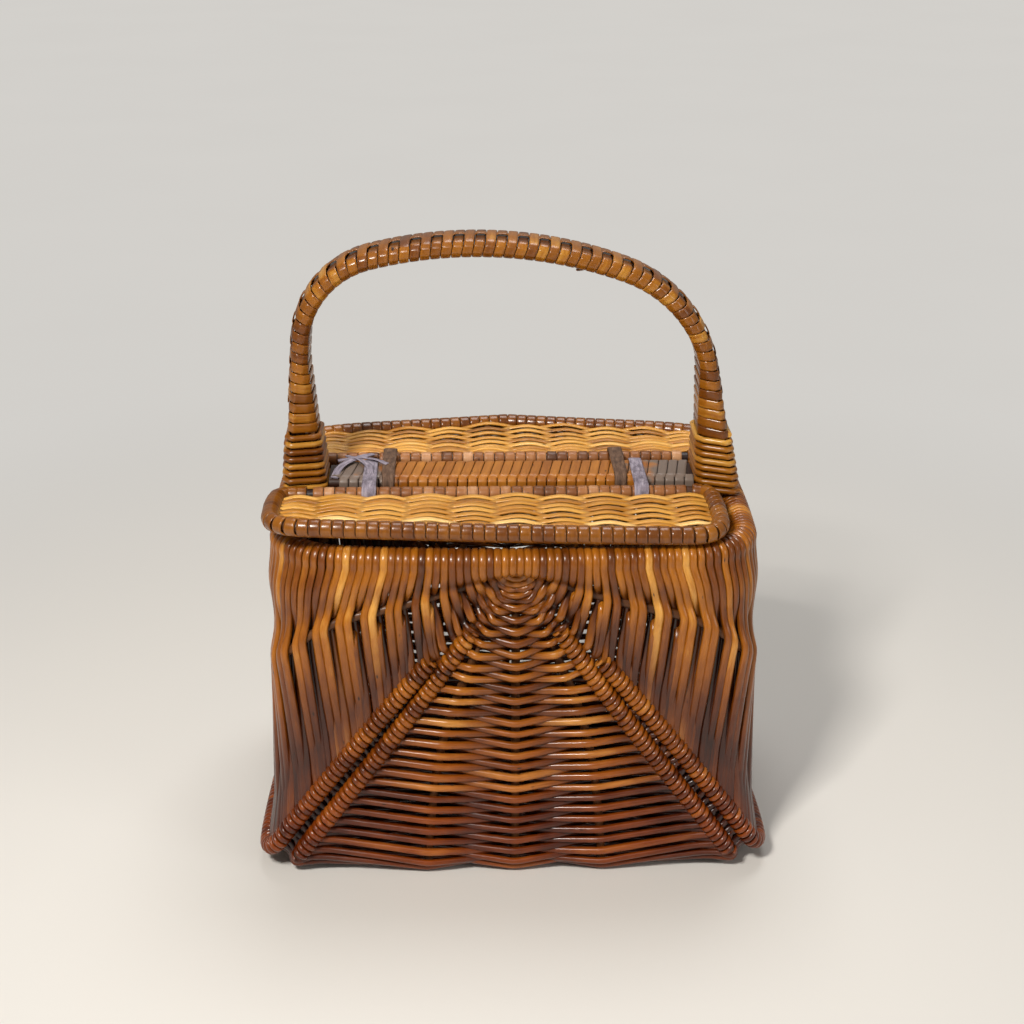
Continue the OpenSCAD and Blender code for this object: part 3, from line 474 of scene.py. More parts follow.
def throughStrand(i, rear):  # inside the rim, over it, down the side, across the wall, and up over the rim again
    j, p, normal, lift, tight = rowPath(wallRow(i), i + 0.5, rear, 4.9, (1, -1, 1)[i % 3])
    a = np.abs(j)
    toRim = smooth((a - 4.1) / 0.7)
    outwards = weave["middle"] + weave["lift"] * (1 - toRim) * lift + toRim * (7.4 - weave["middle"])
    p = p + normal * outwards[:, None]
    first, last, arcRings = weave["arc"]
    tailLong, tailRings = weave["tail"]
    turn = np.radians(np.linspace(first, last, arcRings))[:, None]
    ends = []
    for side in (-1, 1):
        s = quarterLen * (i + 0.5) / rows
        flip = np.array([side, -1 if rear else 1])
        d = unit((rimQuarter(s + 0.5) - rimQuarter(s - 0.5)) * flip)
        centre = np.append(rimQuarter(s) * flip, body["rimZ"])
        outward = np.array([d[1], -d[0], 0.0])
        outward *= np.sign(outward @ np.append(centre[:2], 0))
        facing = np.cos(turn) * outward + np.sin(turn) * up
        arc = centre + (body["rodR"] + weave["rimDeep"] + 0.1) * facing
        tail = arc[-1] + np.outer(np.linspace(0.15, 1, tailRings), -tailLong * up - 0.5 * outward)
        ends.append((np.vstack([arc, tail]), np.vstack([facing, np.repeat(-outward[None], tailRings, 0)])))
    path = np.vstack([ends[0][0][::-1], p, ends[1][0]])
    out = np.vstack([ends[0][1][::-1], normal, ends[1][1]])
    rope = np.exp(-((a - 2.5) / 0.8) ** 4)
    spread = 0.07 * smooth((a - 3) / 0.6) + 0.2 * np.exp(-((a - 3.4) / 0.5) ** 4)  # wider where the rows spread
    pad = lambda value, fill: np.pad(value, arcRings + tailRings, constant_values=fill)
    n = weave["samples"]
    path, out, s, (rimPart, lift, tight, spread) = placed(
        path, out, pad(rope, 0.6), n, pad(0 * j, 1.0),
        (pad(toRim, 1.0), pad(lift * (1 - toRim), 0.0), pad(tight, 0.0), pad(spread, 0.07)))
    r = weave["radius"] * rng.uniform(0.92, 1.05) * (1 + wobble(n, 5, 0.04)) * (1 + 0.09 * lift)
    wide = lerp(r * (1 + spread), weave["rimWide"], rimPart)
    deep = lerp(r * weave["flat"], weave["rimDeep"], rimPart)
    tone = toneOf(n, 0.13, lift)
    return strand(offGround(path, deep), out, wide, deep, square=2.3, tone=tone,
                  wear=shadeAndWearOf(tight, lift) * (1 - rimPart), start=rng.uniform(0, 5)), s


def shortStrand(i, extra, rear):  # turns back behind a rib at both ends; beside the ear it stops earlier
    reach, kSide = (4.45, i + 1) if extra == 1 else (4 if i > 22 else 3.75, i)
    n = 260
    if i == 2:
        reach, kSide, n = (4, i + 1, 260) if extra == 1 else (2, i + 1.18, 150)
    sideSign = -1 if reach >= 4 and i < rows - 1 else 1
    j, p, normal, lift, tight = rowPath(wallRow(i) + extra, kSide, rear, reach + 0.2, sideSign)
    a = np.abs(j)
    tuck = smooth((a - reach - 0.02) / 0.16)
    p = p + normal * (weave["middle"] + weave["lift"] * lerp(lift, weave["tuck"], tuck))[:, None]
    path, out, s, (lift, tight) = placed(p, normal, np.exp(-((a - 2.5) / 0.8) ** 4), n, 0 * j, (lift, tight))
    taper = 0.55 + 0.45 * nearEnds(s, weave["taper"])
    r = weave["radius"] * rng.uniform(0.88, 1.0) * taper * (1 + wobble(n, 4, 0.05)) * (1 + 0.09 * lift)
    tone = toneOf(n, 0.14, lift)
    return strand(offGround(path, r), out, r, r * weave["flat"], tone=tone, wear=shadeAndWearOf(tight, lift),
                  start=rng.uniform(0, 5))


walls = {name: [] for name in ("front", "frontShort", "rear", "rearShort", "side", "sideShort")}
rimTurns = []
for rear in (0, 1):
    for i in range(rows):
        whole, s = throughStrand(i, rear)
        where = "side" if i >= body["wallRows"] else "rear" if rear else "front"
        turn = min(weave["rimCut"], 0.42 * s[-1])
        end, back = np.searchsorted(s, turn), np.searchsorted(s, s[-1] - turn)
        for a, b, group in ((0, end + 1, rimTurns), (end, back, walls[where]), (back - 1, len(s), rimTurns)):
            group.append({**whole, **{key: whole[key][a:b] for key in ("v", "u", "normal", "tone", "wear")}})
        if i % 3 == 2:
            walls[where + "Short"] += [shortStrand(i, extra, rear) for extra in (1, 2)]
walls["sideShort"].append(shortStrand(rows - 1, 1, 0))
replaced = {"front": ("front_weave", "front_ear"), "rear": ("rear_weave", "rear_ear"),
            "side": ("left_side_weave", "right_side_weave", "base_weave")}
for name, group in walls.items():
    piece(name + "Weavers", group, bodyWillow, "willow_body", *replaced.get(name, ()))

# Ropes: strands wound round the corner ribs and the low side ribs, over the places where the rows turn. The path is a
# helix: the rib's line plus radius x (cosine of the turn x normal + its sine x across).
rope = {"radius": 4.5, "strand": 2.0, "pitch": 4.5, "depth": -2.9, "rings": 16, "ends": 30,
        "runs": ((2, 6.5, 33.5), (2, 66.5, 93.5), (3, 11, 89))}  # rib, first row and last row
coils = []
for j, k0, k1 in rope["runs"]:
    for side in (-1, 1):
        k = np.linspace(k0, k1, 400)
        normal = weaveNormal(side * j, k)
        line = weavePoint(side * j, k) + normal * rope["depth"]
        total = lengths(line)
        turns = int(total[-1] / rope["pitch"])
        n = turns * rope["rings"]
        s = np.linspace(0, total[-1], n)
        centre, normal = soften(columns(s, total, line), 12), unit(soften(columns(s, total, normal), 12))
        across = unit(np.cross(unit(np.gradient(centre, axis=0)), normal))
        a = side * 2 * np.pi * (np.arange(n) / rope["rings"] + 0.22 * wobble(n, 60, 1.0))[:, None]
        swell = 1 + 0.05 * wobble(n, 120, 1.0)[:, None]
        out = np.cos(a) * normal + np.sin(a) * across
        path = centre + out * rope["radius"] * swell
        tone = np.repeat(rng.normal(0.52, 0.13, turns + 1), rope["rings"])[:n] + wobble(n, 40, 0.05)
        wide = rope["strand"] * (0.5 + 0.5 * nearEnds(np.arange(n), rope["ends"])) * (1 + wobble(n, 60, 0.05))
        coils.append(strand(offGround(path, wide), out, wide, wide * 0.92, square=2.2, tone=np.clip(tone, 0.05, 0.98)))
piece("ropeCoils", coils, bodyWillow, "willow_body")
piece("rimTurns", rimTurns, rimWillow, "willow_rim", "rim_wraps")
print("body woven")

# Ribs: flattened rods inside the weavers, sharpened at both ends, and deeper near the ears where the rows are close.
rib = {"wide": 3.0, "deep": 2.4, "samples": 200, "earDepth": 3.2, "point": 14}
ribs = {"keel_rib": (0, 3), "inner_rib": (1, 8), "corner_rib": (2, 4), "low_side_rib": (3, 9),
        "high_side_rib": (4, 4)}  # its column, and how far from the ear it starts
for name, side in [(name, side) for name, (j, k0) in ribs.items() for side in ((-1, 1) if j else (0,))]:
    j, k0 = ribs[name]
    j, name = j * side, name + ("_left", "", "_right")[side + 1]
    n = rib["samples"]
    k = np.linspace(k0, 2 * rows - k0, 240)
    near = smooth((30 - np.minimum(k, 2 * rows - k)) / 24)[:, None]
    p = weavePoint(j, k) + weaveNormal(j, k) * (weave["middle"] - rib["earDepth"] * near)
    s = np.linspace(0, lengths(p)[-1], n)
    out = weaveNormal(j, np.linspace(k0, 2 * rows - k0, n))
    point = nearEnds(s, rib["point"]) * 0.7 + 0.3
    rod = strand(soften(along(p, s), 2.0), out, rib["wide"] * point * (1 + wobble(n, 6, 0.03)), rib["deep"] * point, 10,
                 tone=np.clip(0.55 + wobble(n, 5, 0.15), 0, 1), wear=0.15)
    piece(camel(name) + "Rod", [rod], ribWood, "rib_wood", name)
print("ribs made")

# The handle's middle line, as in the frame: a straight leg, three arcs that meet without a kink (tight shoulder, flat
# top, wide shoulder), and a straight leg. The lengths of the legs and the top's radius follow from height and width.
handle = {"top": 410, "feet": 304, "leftLean": 4.5, "rightLean": 11, "leftR": 60, "rightR": 88, "headings": (14, -20),
          "rodR": 4, "rodGap": 8.1, "caneT": 1.5, "leaderT": 1.2, "footH": 44, "footTurns": 8, "footFlare": 6,
          "braceR": 3.5, "braceOff": 16, "braceTip": 2, "braceUp": 66, "pegY": 11.8, "pegDown": 36, "pegR": (3.3, 1.9),
          "pitch": 6.9, "cane": 0.72, "hump": 1.5, "stripW": 3.4, "stripT": 0.5, "stripFrom": 60, "tuckAt": 46}
bandHalf = handle["rodR"] + seat + handle["caneT"]
footZ, footX = rimTop + seat, handle["feet"] / 2 - bandHalf
heads = np.radians([90 - handle["leftLean"], *handle["headings"], handle["rightLean"] - 90])
turned = lambda r, h0, h1: r * np.array([math.sin(h0) - math.sin(h1), math.cos(h1) - math.cos(h0)])
heading = lambda h: np.array([math.cos(h), math.sin(h)])
shoulders = turned(handle["leftR"], heads[0], heads[1]) + turned(handle["rightR"], heads[2], heads[3])
apex = handle["top"] - bandHalf - seat - handle["leaderT"] - footZ
apex -= turned(handle["leftR"], heads[0], heads[1])[1]
legs = np.vstack([np.stack([heading(heads[0]), turned(1, heads[1], heads[2]), heading(heads[3])], -1),
                  [math.sin(heads[0]), turned(1, heads[1], 0)[1], 0]])
leftLeg, topR, rightLeg = np.linalg.solve(legs, [2 * footX - shoulders[0], -shoulders[1], apex])
at = np.array([-footX, footZ])
line = [at + np.outer(np.linspace(0, leftLeg, 200, endpoint=False), heading(heads[0]))]
headings = [np.full(200, heads[0])]
at = at + leftLeg * heading(heads[0])
for r, h0, h1 in zip((handle["leftR"], topR, handle["rightR"]), heads, heads[1:]):
    a = np.linspace(h0, h1, 200, endpoint=False)
    line.append(at + r * np.stack([math.sin(h0) - np.sin(a), np.cos(a) - math.cos(h0)], -1))
    headings.append(a)
    at = at + turned(r, h0, h1)
line.append(at + np.outer(np.linspace(0, rightLeg, 200), heading(heads[3])))
handlePoints, handleHeads = np.vstack(line), np.concatenate([*headings, np.full(200, heads[3])])
handleS = lengths(handlePoints)
handleLen = handleS[-1]
turnRings = 40


def handleAt(s):  # points and headings at the lengths s
    return columns(s, handleS, handlePoints), np.interp(s, handleS, handleHeads)


# Points round a band with cut corners, turnRings to a turn: v across it, y along it, the outside first. Each of its
# eight edges takes a fixed share of the turn, and a point lies on a straight line between the edge's two corners.
def aroundBand(top, low, y, grow, taper=0.0, bevel=6.5):
    top, low, y = top + grow, low + grow, y + grow
    a, b = 0.586 * np.minimum(top, bevel), 0.586 * np.minimum(low, bevel)
    yLow = y - taper
    corners = np.stack([np.stack(pair, -1) for pair in (
        (top, a - y), (top, y - a), (top - a, y), (b - low, yLow), (-low, yLow - b), (-low, b - yLow), (b - low, -yLow),
        (top - a, -y), (top, a - y))])
    share = np.concatenate([[0], np.cumsum([8, 3, 6, 3, 8, 3, 6, 3])]) / 40
    row = np.arange(len(top))
    q = row % turnRings / turnRings
    edge = np.clip(np.searchsorted(share, q, "right") - 1, 0, 7)
    f = ((q - share[edge]) / (share[edge + 1] - share[edge]))[:, None]
    return lerp(corners[edge, row], corners[edge + 1, row], f)


def skin(s, grow):  # the handle's outline at each length s: a band over its rods, which widens at the feet
    d = np.minimum(s, handleLen - s)
    bandIn, bandY = handle["rodR"] + seat, 1.5 * handle["rodGap"] + handle["rodR"] + seat
    footIn = handle["braceOff"] + handle["braceR"] + seat
    tipIn = bandIn + 2 * handle["braceTip"] + seat
    inner = np.where(d < handle["braceUp"], lerp(footIn, tipIn, d / handle["braceUp"]),
                     np.maximum(bandIn, lerp(tipIn, bandIn, (d - handle["braceUp"]) / 24)))
    half = bandY + handle["footFlare"] * np.maximum(0, 1 - d / 90)
    v = aroundBand(bandIn + 0 * s, inner, half, grow, 5 * smooth((inner - bandIn) / 8))
    p, h = handleAt(s)
    level = np.clip((d - handle["footH"]) / 60, 0, 1)
    h = lerp(np.where(s * 2 < handleLen, math.pi / 2, -math.pi / 2), h, level)
    return np.stack([p[:, 0] - v[:, 0] * np.sin(h), v[:, 1], p[:, 1] + v[:, 0] * np.cos(h)], -1)


def wound(s, grow, wide, deep, section, **rest):  # cane wound round an outline, which it faces with its flat side
    p = section(s, grow)
    return strand(p, unit(section(s, grow + 1.0) - p), wide, deep, **rest)


def perTurn(turns, m, middle=0.55, spread=0.13):  # a tone for each turn, with a little change along it
    n = turns * m + 1
    return np.clip(np.repeat(rng.normal(middle, spread, turns + 1), m)[:n] + wobble(n, 30, 0.07), 0, 1)


first, last = handle["footH"] - 2.5, handleLen - handle["footH"] + 2.5
handleTurns = 2 * (round((last - first) / handle["pitch"]) // 2) + 1
m = np.arange(handleTurns * turnRings + 1)
s = lerp(first, last, m / m[-1])
# the outside of the band is samples 0 to 8 of a turn: every second turn rises over the strip there
outside = np.clip(1.6 * (1 - np.abs(m % turnRings - 4) / 4.0), 0, 1)
stripEnd = handle["stripFrom"] + 4
overStrip = (m // turnRings % 2 == 0) & (s > stripEnd) & (s < handleLen - stripEnd)
hump = np.where(overStrip, handle["hump"], 0.0) * smooth(outside)
# the outside of each turn that doesn't rise over the strip is darkened: painted shade beside and under the strip
wrap = wound(s, handle["cane"] + hump, handle["pitch"] / 2 * 0.94, handle["cane"], skin, square=3.4,
             tone=perTurn(handleTurns, turnRings), wear=np.where((outside > 0) & ~overStrip, 0.5, 0.05))
piece("handleCane", [wrap], handleCane, "handle_cane", "handle_wrap")

# the strip along the outside dives under every other turn: its height follows a cosine of the turns
s = np.linspace(handle["stripFrom"], handleLen - handle["stripFrom"], 500)
p, h = handleAt(s)
phase = (s - first) / (last - first) * handleTurns
off = bandHalf + 0.15 + 1.25 * smooth(0.5 - 0.8 * np.cos(np.pi * (phase - 0.1)))
normal = np.stack([-np.sin(h), 0 * s, np.cos(h)], -1)
strip = strand(np.stack([p[:, 0], 0 * s, p[:, 1]], -1) + normal * off[:, None], normal, handle["stripW"],
               handle["stripT"], square=3.2, tone=0.6, wear=0.3)
piece("handleStrip", [strip], handleCane, "handle_cane", "handle_leader")

# the end of the cane is tucked in under the top, which leaves a small lump
t = np.linspace(0, 1, 30)
q, h = handleAt(np.interp(handle["tuckAt"], handlePoints[:, 0], handleS) + 0 * t)
lump = np.stack([q[:, 0] + 9 * (t - 0.5), -12 + 22 * t, q[:, 1] - bandHalf - 0.2 - 1.6 * np.sin(np.pi * t)], -1)
lump = strand(lump, -up, 3.0 * np.sin(np.pi * (0.1 + 0.8 * t)), 0.8, square=3, tone=0.35, wear=0.2)
piece("handleTuck", [lump], handleCane, "handle_cane")

# round cane on each foot, and two sharpened pegs that brace the leg and go down inside the rim
for side, low, inward, h in (("left", 0.0, 1, heads[0]), ("right", handleLen - handle["footH"], -1, heads[3])):
    m = np.arange(handle["footTurns"] * turnRings + 1)
    s = low + 2.2 + (handle["footH"] - 4.4) * m / m[-1]
    cane = wound(s, 1.95, 2.0 * (1 + wobble(len(s), 20, 0.03)), 1.8, skin, tone=perTurn(handle["footTurns"], turnRings),
                 wear=0.05)
    piece(side + "FootCane", [cane], handleCane, "handle_cane", side + "_foot_binding")
    foot = np.array([-inward * footX, footZ])
    outerEnd = foot + [inward * handle["braceOff"], 0]
    tip = foot + handle["braceUp"] * heading(h) * inward + [inward * (handle["rodR"] + seat + handle["braceTip"]), 0]
    line = lerp(outerEnd + unit(outerEnd - tip) * handle["pegDown"], tip, np.linspace(0, 1, 20)[:, None])
    r = np.linspace(*handle["pegR"], 20)
    pegs = [strand(np.column_stack([line[:, 0], np.full(20, y), line[:, 1]]), [0, 1.0, 0], r, r, 12,
                   tone=0.75, wear=0.1) for y in (-handle["pegY"], handle["pegY"])]
    piece(side + "Pegs", pegs, ribWood, "rib_wood", side + "_braces")
print("handle wound")

# The bar between the feet, wound with flat cane: nearly all of a turn's advance lies on the top.
bar = {"depth": 34, "thick": 12, "half": 122.4, "caneT": 1.5, "pitch": 6.6, "z": rimTop + seat + 6.0, "advance": 13}


def barSkin(s, grow):  # the same band all along the bar
    half = bar["thick"] / 2 - bar["caneT"] + 0 * s
    v = aroundBand(half, half, bar["depth"] / 2 - bar["caneT"] + 0 * s, grow)
    return np.stack([s, v[:, 1], bar["z"] + v[:, 0]], -1)


barEnd = bar["half"] - 3
barTurns = round(2 * barEnd / bar["pitch"])
m = np.arange(barTurns * turnRings + 1)
advance = m // turnRings + np.clip((m % turnRings + 3) / bar["advance"], 0, 1)
s = lerp(-barEnd, barEnd, np.clip(advance / barTurns, 0, 1))
wrap = wound(s, bar["caneT"] / 2, bar["pitch"] / 2 * 0.95, bar["caneT"] / 2, barSkin, square=3.4,
             tone=perTurn(barTurns, turnRings, 0.48, 0.06), wear=0.05)
piece("barCane", [wrap], barCane, "bar_cane", "bridge_wrap")

# Lids. A lid has its own coordinates: x along the hinge, v away from it, z up.
lid = {
    "w": 298, "hingeY": 33, "hingeR": 5.2, "backRound": 26, "rodR": 4.2, "bandT": 1.5,
    "outline": {"front": (4.5, 46), "rear": (22, 100)},  # how far a front corner falls back, and how long it is
    "warp": {"front": 9, "rear": 0}, "shift": {"front": 12, "rear": 0},  # a lifted corner, and how far it has slid
    "pitch": 7.2, "rings": 28, "hingePitch": 7.4, "hingeRings": 24,
    "stakes": 10, "stakeR": 1.7, "stakeIn": 14, "stakeZ": 0.3,
    "rows": 15, "weaverWide": 2.35, "weaverDeep": 0.9, "lift": 3.0, "samples": 300, "blur": 4.5, "zigzag": 0.9}
hingeY, hingeR, borderR = lid["hingeY"], lid["hingeR"], lid["rodR"] + seat + lid["bandT"]
lidZ = rimTop + seat + borderR
lidX, lidV = lid["w"] / 2 - borderR, hoopY + 1
hingeEnd = lidX - lid["backRound"] * 0.6
stakeReach = lidX - lid["stakeIn"]
stakeX = stakeReach * (2 * np.arange(lid["stakes"]) / (lid["stakes"] - 1) - 1)


def makeLid(which):
    bodyName, fall, reach = which + "_lid", *lid["outline"][which]
    backV, cornerV = hingeY + lid["backRound"], lidV - fall - reach * 0.27
    half = cutCorners([[hingeEnd, hingeY], [lidX, hingeY], [lidX + 1, backV],
                       [lidX + 1, max(lidV - fall - reach, backV + 2)], [lidX - 1, lidV - fall],
                       [lidX - reach, lidV - fall / 3], [0, lidV]], 4)
    ahead = half[half[:, 1] > cornerV - 4]
    aside = half[(half[:, 1] > hingeY + 12) & (half[:, 0] > 20)]
    frontAt = lambda x: np.interp(np.abs(x), ahead[::-1, 0], ahead[::-1, 1])
    sideAt = lambda v: np.interp(v, aside[:, 1], aside[:, 0])

    def place(x, v, z):  # lid coordinates to the frame's; the warp grows with the distance from hinge and right end
        z = lidZ + z + lid["warp"][which] * (lidX - x) / (2 * lidX) * np.maximum(0, v - hingeY) / (lidV - hingeY)
        return np.stack([-x, v, z], -1) if which == "rear" else np.stack([x - lid["shift"][which], -v, z], -1)

    line = np.vstack([half, (half * [-1, 1])[-2::-1]])
    line = place(line[:, 0], line[:, 1], 0)
    total = lengths(line)[-1]
    line = soften(along(line, np.linspace(0, total, 400)), 2)
    lineS = lengths(line)
    outward = unit(np.cross(unit(np.gradient(line, axis=0)), up))
    outward *= np.sign(np.sum(outward * (line - line.mean(0)), -1, keepdims=True))

    def ring(s, a, grow):  # a circle round the border's rod; angle 0 is outwards
        o = unit(columns(s, lineS, outward))
        return columns(s, lineS, line) + (lid["rodR"] + grow) * (np.cos(a)[..., None] * o + np.sin(a)[..., None] * up)

    # cane on the border: a turn lies square to the rod and moves on where it passes underneath
    turns, rings = round(total / lid["pitch"]), lid["rings"]
    m = np.arange(turns * rings + 1)
    a = math.pi + 2 * np.pi * m / rings
    s = total * np.clip(m // rings + smooth((m % rings / rings - 0.04) / 0.4), 0, turns) / turns
    p = ring(s, a, 0.95)
    wrap = strand(p, unit(ring(s, a, 2.0) - p), lid["pitch"] / 2 * 0.97, 0.7, square=3.8,
                  tone=perTurn(turns, rings, 0.45, 0.07), wear=0.05)
    piece(which + "LidBorderCane", [wrap], handleCane, "lid_willow", bodyName + "_wraps", body=bodyName)
    rod = strand(line[::4], up, lid["rodR"], lid["rodR"], 12, tone=0.3)
    piece(which + "LidBorderRod", [rod], ribWood, "rib_wood", bodyName + "_border", body=bodyName)

    # cane on the hinge rod
    onHinge = lambda x: place(x, 0 * x + hingeY, 0 * x)
    end = hingeEnd - seat
    turns, rings = round(2 * end / lid["hingePitch"]), lid["hingeRings"]
    m = np.arange(turns * rings + 1)
    a = 2 * np.pi * m / rings
    x = -end + 3.5 + (2 * end - 7) * np.clip(m // rings + smooth(m % rings / rings / 0.5), 0, turns) / turns
    face = np.stack([0 * a, np.cos(a), -np.sin(a)], -1)
    bound = strand(onHinge(x) + face * (hingeR - 0.7), face, lid["hingePitch"] / 2 * 0.95, 0.65, square=3.2,
                   tone=perTurn(turns, rings, 0.6, 0.16), wear=0.08)
    # the core under the turns is made darkest: painted shade in the gaps between them
    core = strand(onHinge(np.linspace(-end, end, 5)), up, hingeR - 1.3, hingeR - 1.3, 12, tone=0.1, wear=1.0)
    piece(which + "LidHingeCane", [core, bound], hingeCane, "lid_willow", bodyName + "_hinge_rod",
          body=bodyName)

    # stakes from the hinge rod to the front of the border
    stakes = []
    for x in stakeX:
        v = np.linspace(hingeY + hingeR + 2.4, frontAt(x) - borderR - 0.6, 12)
        stakes.append(strand(place(np.full(12, x) + wobble(12, 2, 0.3), v, np.full(12, lid["stakeZ"])),
                             up, lid["stakeR"] * 1.5, lid["stakeR"],
                             tone=rng.uniform(0.3, 0.7), wear=0.4))
    piece(which + "LidStakes", stakes, ribWood, "rib_wood", bodyName + "_stakes", body=bodyName)

    # Weavers go over one stake and under the next: their height and their small zigzag are triangle waves of the
    # stakes. The rows bow more and more towards the front edge.
    weavers, n = [], lid["samples"]
    for row in range(lid["rows"]):
        t = (row + 0.5) / lid["rows"]
        v = lerp(hingeY + hingeR + 2.6, cornerV + 2, t)
        end = min(sideAt(v), sideAt(v + 3)) - borderR + 0.5
        x = np.linspace(-end, end, n)
        phase = (x + stakeReach) / (stakeX[1] - stakeX[0]) / 2
        bowed = (frontAt(x * 0.97) - borderR + 2 - (cornerV + 2)) * t ** 1.6 * 0.97
        lift = (1 if row % 2 else -1) * (1 - 4 * np.abs((phase + 0.5) % 1 - 0.5))
        edge = smooth((end - np.abs(x)) / 7)
        zigzag = (1 - 4 * np.abs((phase + 0.25 * (row // 4)) % 1 - 0.5)) * lid["zigzag"]
        z = lid["stakeZ"] + lid["lift"] * lift * edge + wobble(n, 3, 0.3)
        p = soften(place(x, v + bowed + (zigzag + wobble(n, 9, 0.5)) * edge, z), lid["blur"] / (2 * end / n))
        width = lid["weaverWide"] * rng.uniform(0.92, 1.08)
        tone = np.clip(rng.normal(0.5, 0.13) + wobble(n, 6, 0.09), 0.05, 1)
        # a weaver is darkened where it dips under a stake: painted shade
        weavers.append(strand(p, up, width * (1 + 0.12 * lift + wobble(n, 6, 0.05)),
                              lid["weaverDeep"], square=2.6, tone=tone, wear=np.clip(0.15 - 0.95 * lift, 0, 1),
                              start=rng.uniform(0, 5)))
    piece(which + "LidWeavers", weavers, lidWillow, "lid_willow", bodyName + "_weave", body=bodyName)


makeLid("front")
makeLid("rear")
print("lids woven")

# Ties: leather loops round the bar and a hinge rod, two half circles joined by straight runs.
tie = {"w": 9, "t": 1.4, "left": 95, "right": 85, "apart": 3}
tieIn = bar["thick"] / 2 + 2 * seat


def tieLoop(x, end):
    far, near = -end * (bar["depth"] / 2 + seat - tieIn * 0.95), end * hingeY
    r = tieIn + tie["t"] / 2
    a = np.linspace(-np.pi / 2, np.pi / 2, 24)
    one = np.stack([near + end * r * np.cos(a), bar["z"] + r * np.sin(a)], -1)
    two = np.stack([far - end * r * np.cos(a[::-1]), bar["z"] + r * np.sin(a[::-1])], -1)
    loop = np.vstack([one, np.linspace(one[-1], two[0], 14)[1:-1], two, np.linspace(two[-1], one[0], 14)[1:-1]])
    p = np.column_stack([np.full(len(loop), x), loop])
    wide = tie["w"] / 2 * (1 + 0.08 * np.sin(np.linspace(0, 2 * np.pi, len(p))))
    return strand(p, unit((p - p.mean(0)) * [0, 0.3, 1.0]), wide, tie["t"] / 2, 10, square=3.0, closed=True)


beside = tie["w"] + tie["apart"]
for name, x, end in (("front_tie_left", -tie["left"], -1), ("front_tie_right", tie["right"], -1),
                     ("rear_tie_left", beside - tie["left"], 1), ("rear_tie_right", tie["right"] - beside, 1)):
    piece(camel(name) + "Lace", [tieLoop(x, end)], greyLeather if end < 0 else brownLeather, "tie_leather", name)

# the left tie's long ends lie crossed over the end of the bar; the second one turns down in front of it
ends = {"t": 0.6, "samples": 60, "lines": (
    (2.6, ((-119, -14, 246.6), (-117, -4, 249.3), (-112, 6, 250.2), (-105, 15, 250.0), (-99, 21, 249.6),
           (-95, 25.5, 248.8))),
    (2.3, ((-112, 21, 249.2), (-104, 12, 250.6), (-98, 2, 251.0), (-95, -8, 250.8), (-95.5, -17, 248.8),
           (-97, -20.5, 243))),
    (1.9, ((-118, 12, 249.0), (-106, 13, 251.2), (-92, 9, 251.4), (-84, 3, 249.6))))}
looseEnds = []
for wide, line in ends["lines"]:
    q = cutCorners(line, 3)
    s = np.linspace(0, lengths(q)[-1], ends["samples"])
    face = unit(up + 0.5 * np.sin(s / 9 + wide * 3)[:, None] * [0.3, 0.5, 0])
    down = [0, -1.0, 0] if line[-1][2] < 245 else [0, 0, 0]
    face[-12:] = unit(face[-12:] + np.linspace(0, 1, 12)[:, None] * down)
    looseEnds.append(strand(along(q, s), face, wide * (1 + wobble(len(s), 4, 0.1)), ends["t"], square=2.6))
piece("leftTieEnds", looseEnds, greyLeather, "tie_leather")
print("ties made")

# rods of the frame that stay as they are, or show where nothing replaces them
for name in ("rim_hoop", "handle_bow", "bridge_bar", "left_braces", "right_braces", "front_lid_border",
             "rear_lid_border"):
    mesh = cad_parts[name].data
    mesh.materials.clear()
    mesh.materials.append(ribWood)

# A painted studio floor, matt and nearly white. Far off, where the lamps don't reach, the camera sees its colour.
stage = {"half": 6, "floor": "#dedbd6", "floorDark": "#dbd8d3", "glow": 0.9, "fade": (0.3, 1.0), "ambient": "#f4ede2",
         "ambientStrength": 0.18, "glossyShare": 0.25}
floorMaterial = bpy.data.materials.new("paintedFloor")
add = emptied(floorMaterial)
place = add("TexCoord", {}, "Object")
grain = add("TexNoise", {"Scale": 3.0, "Detail": 2.0, "Vector": place}, "Fac")
tint = add("Mix", {**cover, 0: grain, 6: linear(stage["floor"]), 7: linear(stage["floorDark"])}, 2)
matt = add("BsdfPrincipled", {"Base Color": tint, "Roughness": 0.9})
glow = add("Emission", {"Color": tint, "Strength": stage["glow"]})
away = add("VectorMath", {"operation": "LENGTH", 0: place}, "Value")
away = add("MapRange", {"interpolation_type": "SMOOTHSTEP", "Value": away, "From Min": stage["fade"][0],
                                  "From Max": stage["fade"][1]})
seen = add("LightPath", {}, "Is Camera Ray")
share = add("Math", {"operation": "MULTIPLY", 0: away, 1: seen})
joined = add("MixShader", {0: share, 1: matt, 2: glow})
add("OutputMaterial", {"Surface": joined})
mesh = bpy.data.meshes.new("floor")
edge = stage["half"]
mesh.from_pydata([(-edge, -edge, 0), (edge, -edge, 0), (edge, edge, 0), (-edge, edge, 0)], [], [(0, 1, 2, 3)])
mesh.materials.append(floorMaterial)
addObject("floor", mesh)

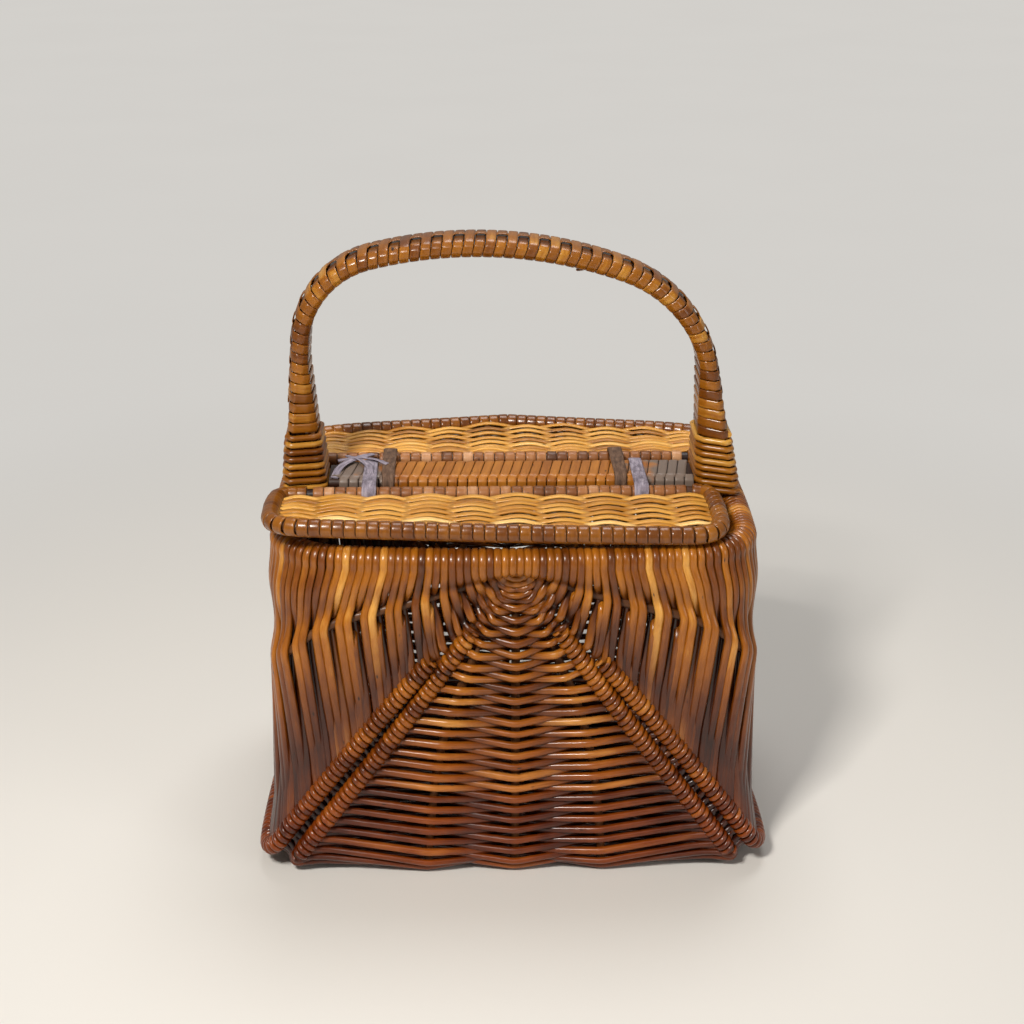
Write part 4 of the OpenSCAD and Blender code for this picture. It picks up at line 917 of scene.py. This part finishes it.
world = bpy.data.worlds.new("paleRoom")
bpy.context.scene.world = world
add = emptied(world)
direct, glossy = [add("LightPath", {}, f"Is {kind} Ray") for kind in ("Camera", "Glossy")]
glossy = add("Math", {"operation": "MULTIPLY", 0: glossy, 1: stage["glossyShare"]})
seen = add("Math", {"operation": "MAXIMUM", 0: direct, 1: glossy})
ambient = add("Background", {"Color": linear(stage["ambient"]), "Strength": stage["ambientStrength"]})
backdrop = add("Background", {"Color": linear(stage["floor"]), "Strength": stage["glow"]})
joined = add("MixShader", {0: seen, 1: ambient, 2: backdrop})
add("OutputWorld", {"Surface": joined})

lamps = {  # place in metres, size, watts, tint
    "keyLamp": ((-0.6, -1.2, 1.5), 0.3, 32, (1, 0.96, 0.9)),
    "fillLamp": ((1.4, -1.2, 0.8), 0.8, 6, (1, 0.98, 0.95)),
    "topLamp": ((0.1, 0.5, 1.7), 0.8, 12, (1, 1, 1))}
target = Vector((0, 0, 0.2))
for name, (place, size, power, tint) in lamps.items():
    light = bpy.data.lights.new(name, "AREA")
    light.energy, light.size, light.color = power, size, tint
    lamp = addObject(name, light)
    lamp.location = place
    lamp.rotation_euler = (target - Vector(place)).to_track_quat("-Z", "Y").to_euler()

# The camera was fitted to the photograph: its place in metres, its turns in radians, and its focal length in pixels.
view = {"place": (-0.0352, -1.1189, 0.6702), "pitch": 0.386, "yaw": 0.032, "roll": -0.005, "focal": 1761.9,
        "frame": 1024, "sensor": 36, "nearest": 0.05}
(sy, cy), (sp, cp), (sr, cr) = ((math.sin(view[key]), math.cos(view[key])) for key in ("yaw", "pitch", "roll"))
right, above, ahead = Vector((cy, -sy, 0)), Vector((sp * sy, sp * cy, cp)), Vector((cp * sy, cp * cy, -sp))
camera = bpy.data.cameras.new("photoCamera")
camera.sensor_width, camera.clip_start = view["sensor"], view["nearest"]
camera.lens = view["focal"] / view["frame"] * view["sensor"]
cameraObj = addObject("photoCamera", camera)
turn = Matrix((right * cr - above * sr, right * sr + above * cr, -ahead)).transposed().to_4x4()
cameraObj.matrix_world = Matrix.Translation(Vector(view["place"])) @ turn
bpy.context.scene.camera = cameraObj
bpy.context.scene.view_settings.view_transform = "Standard"
print("stage set")

bpy.context.view_layer.update()
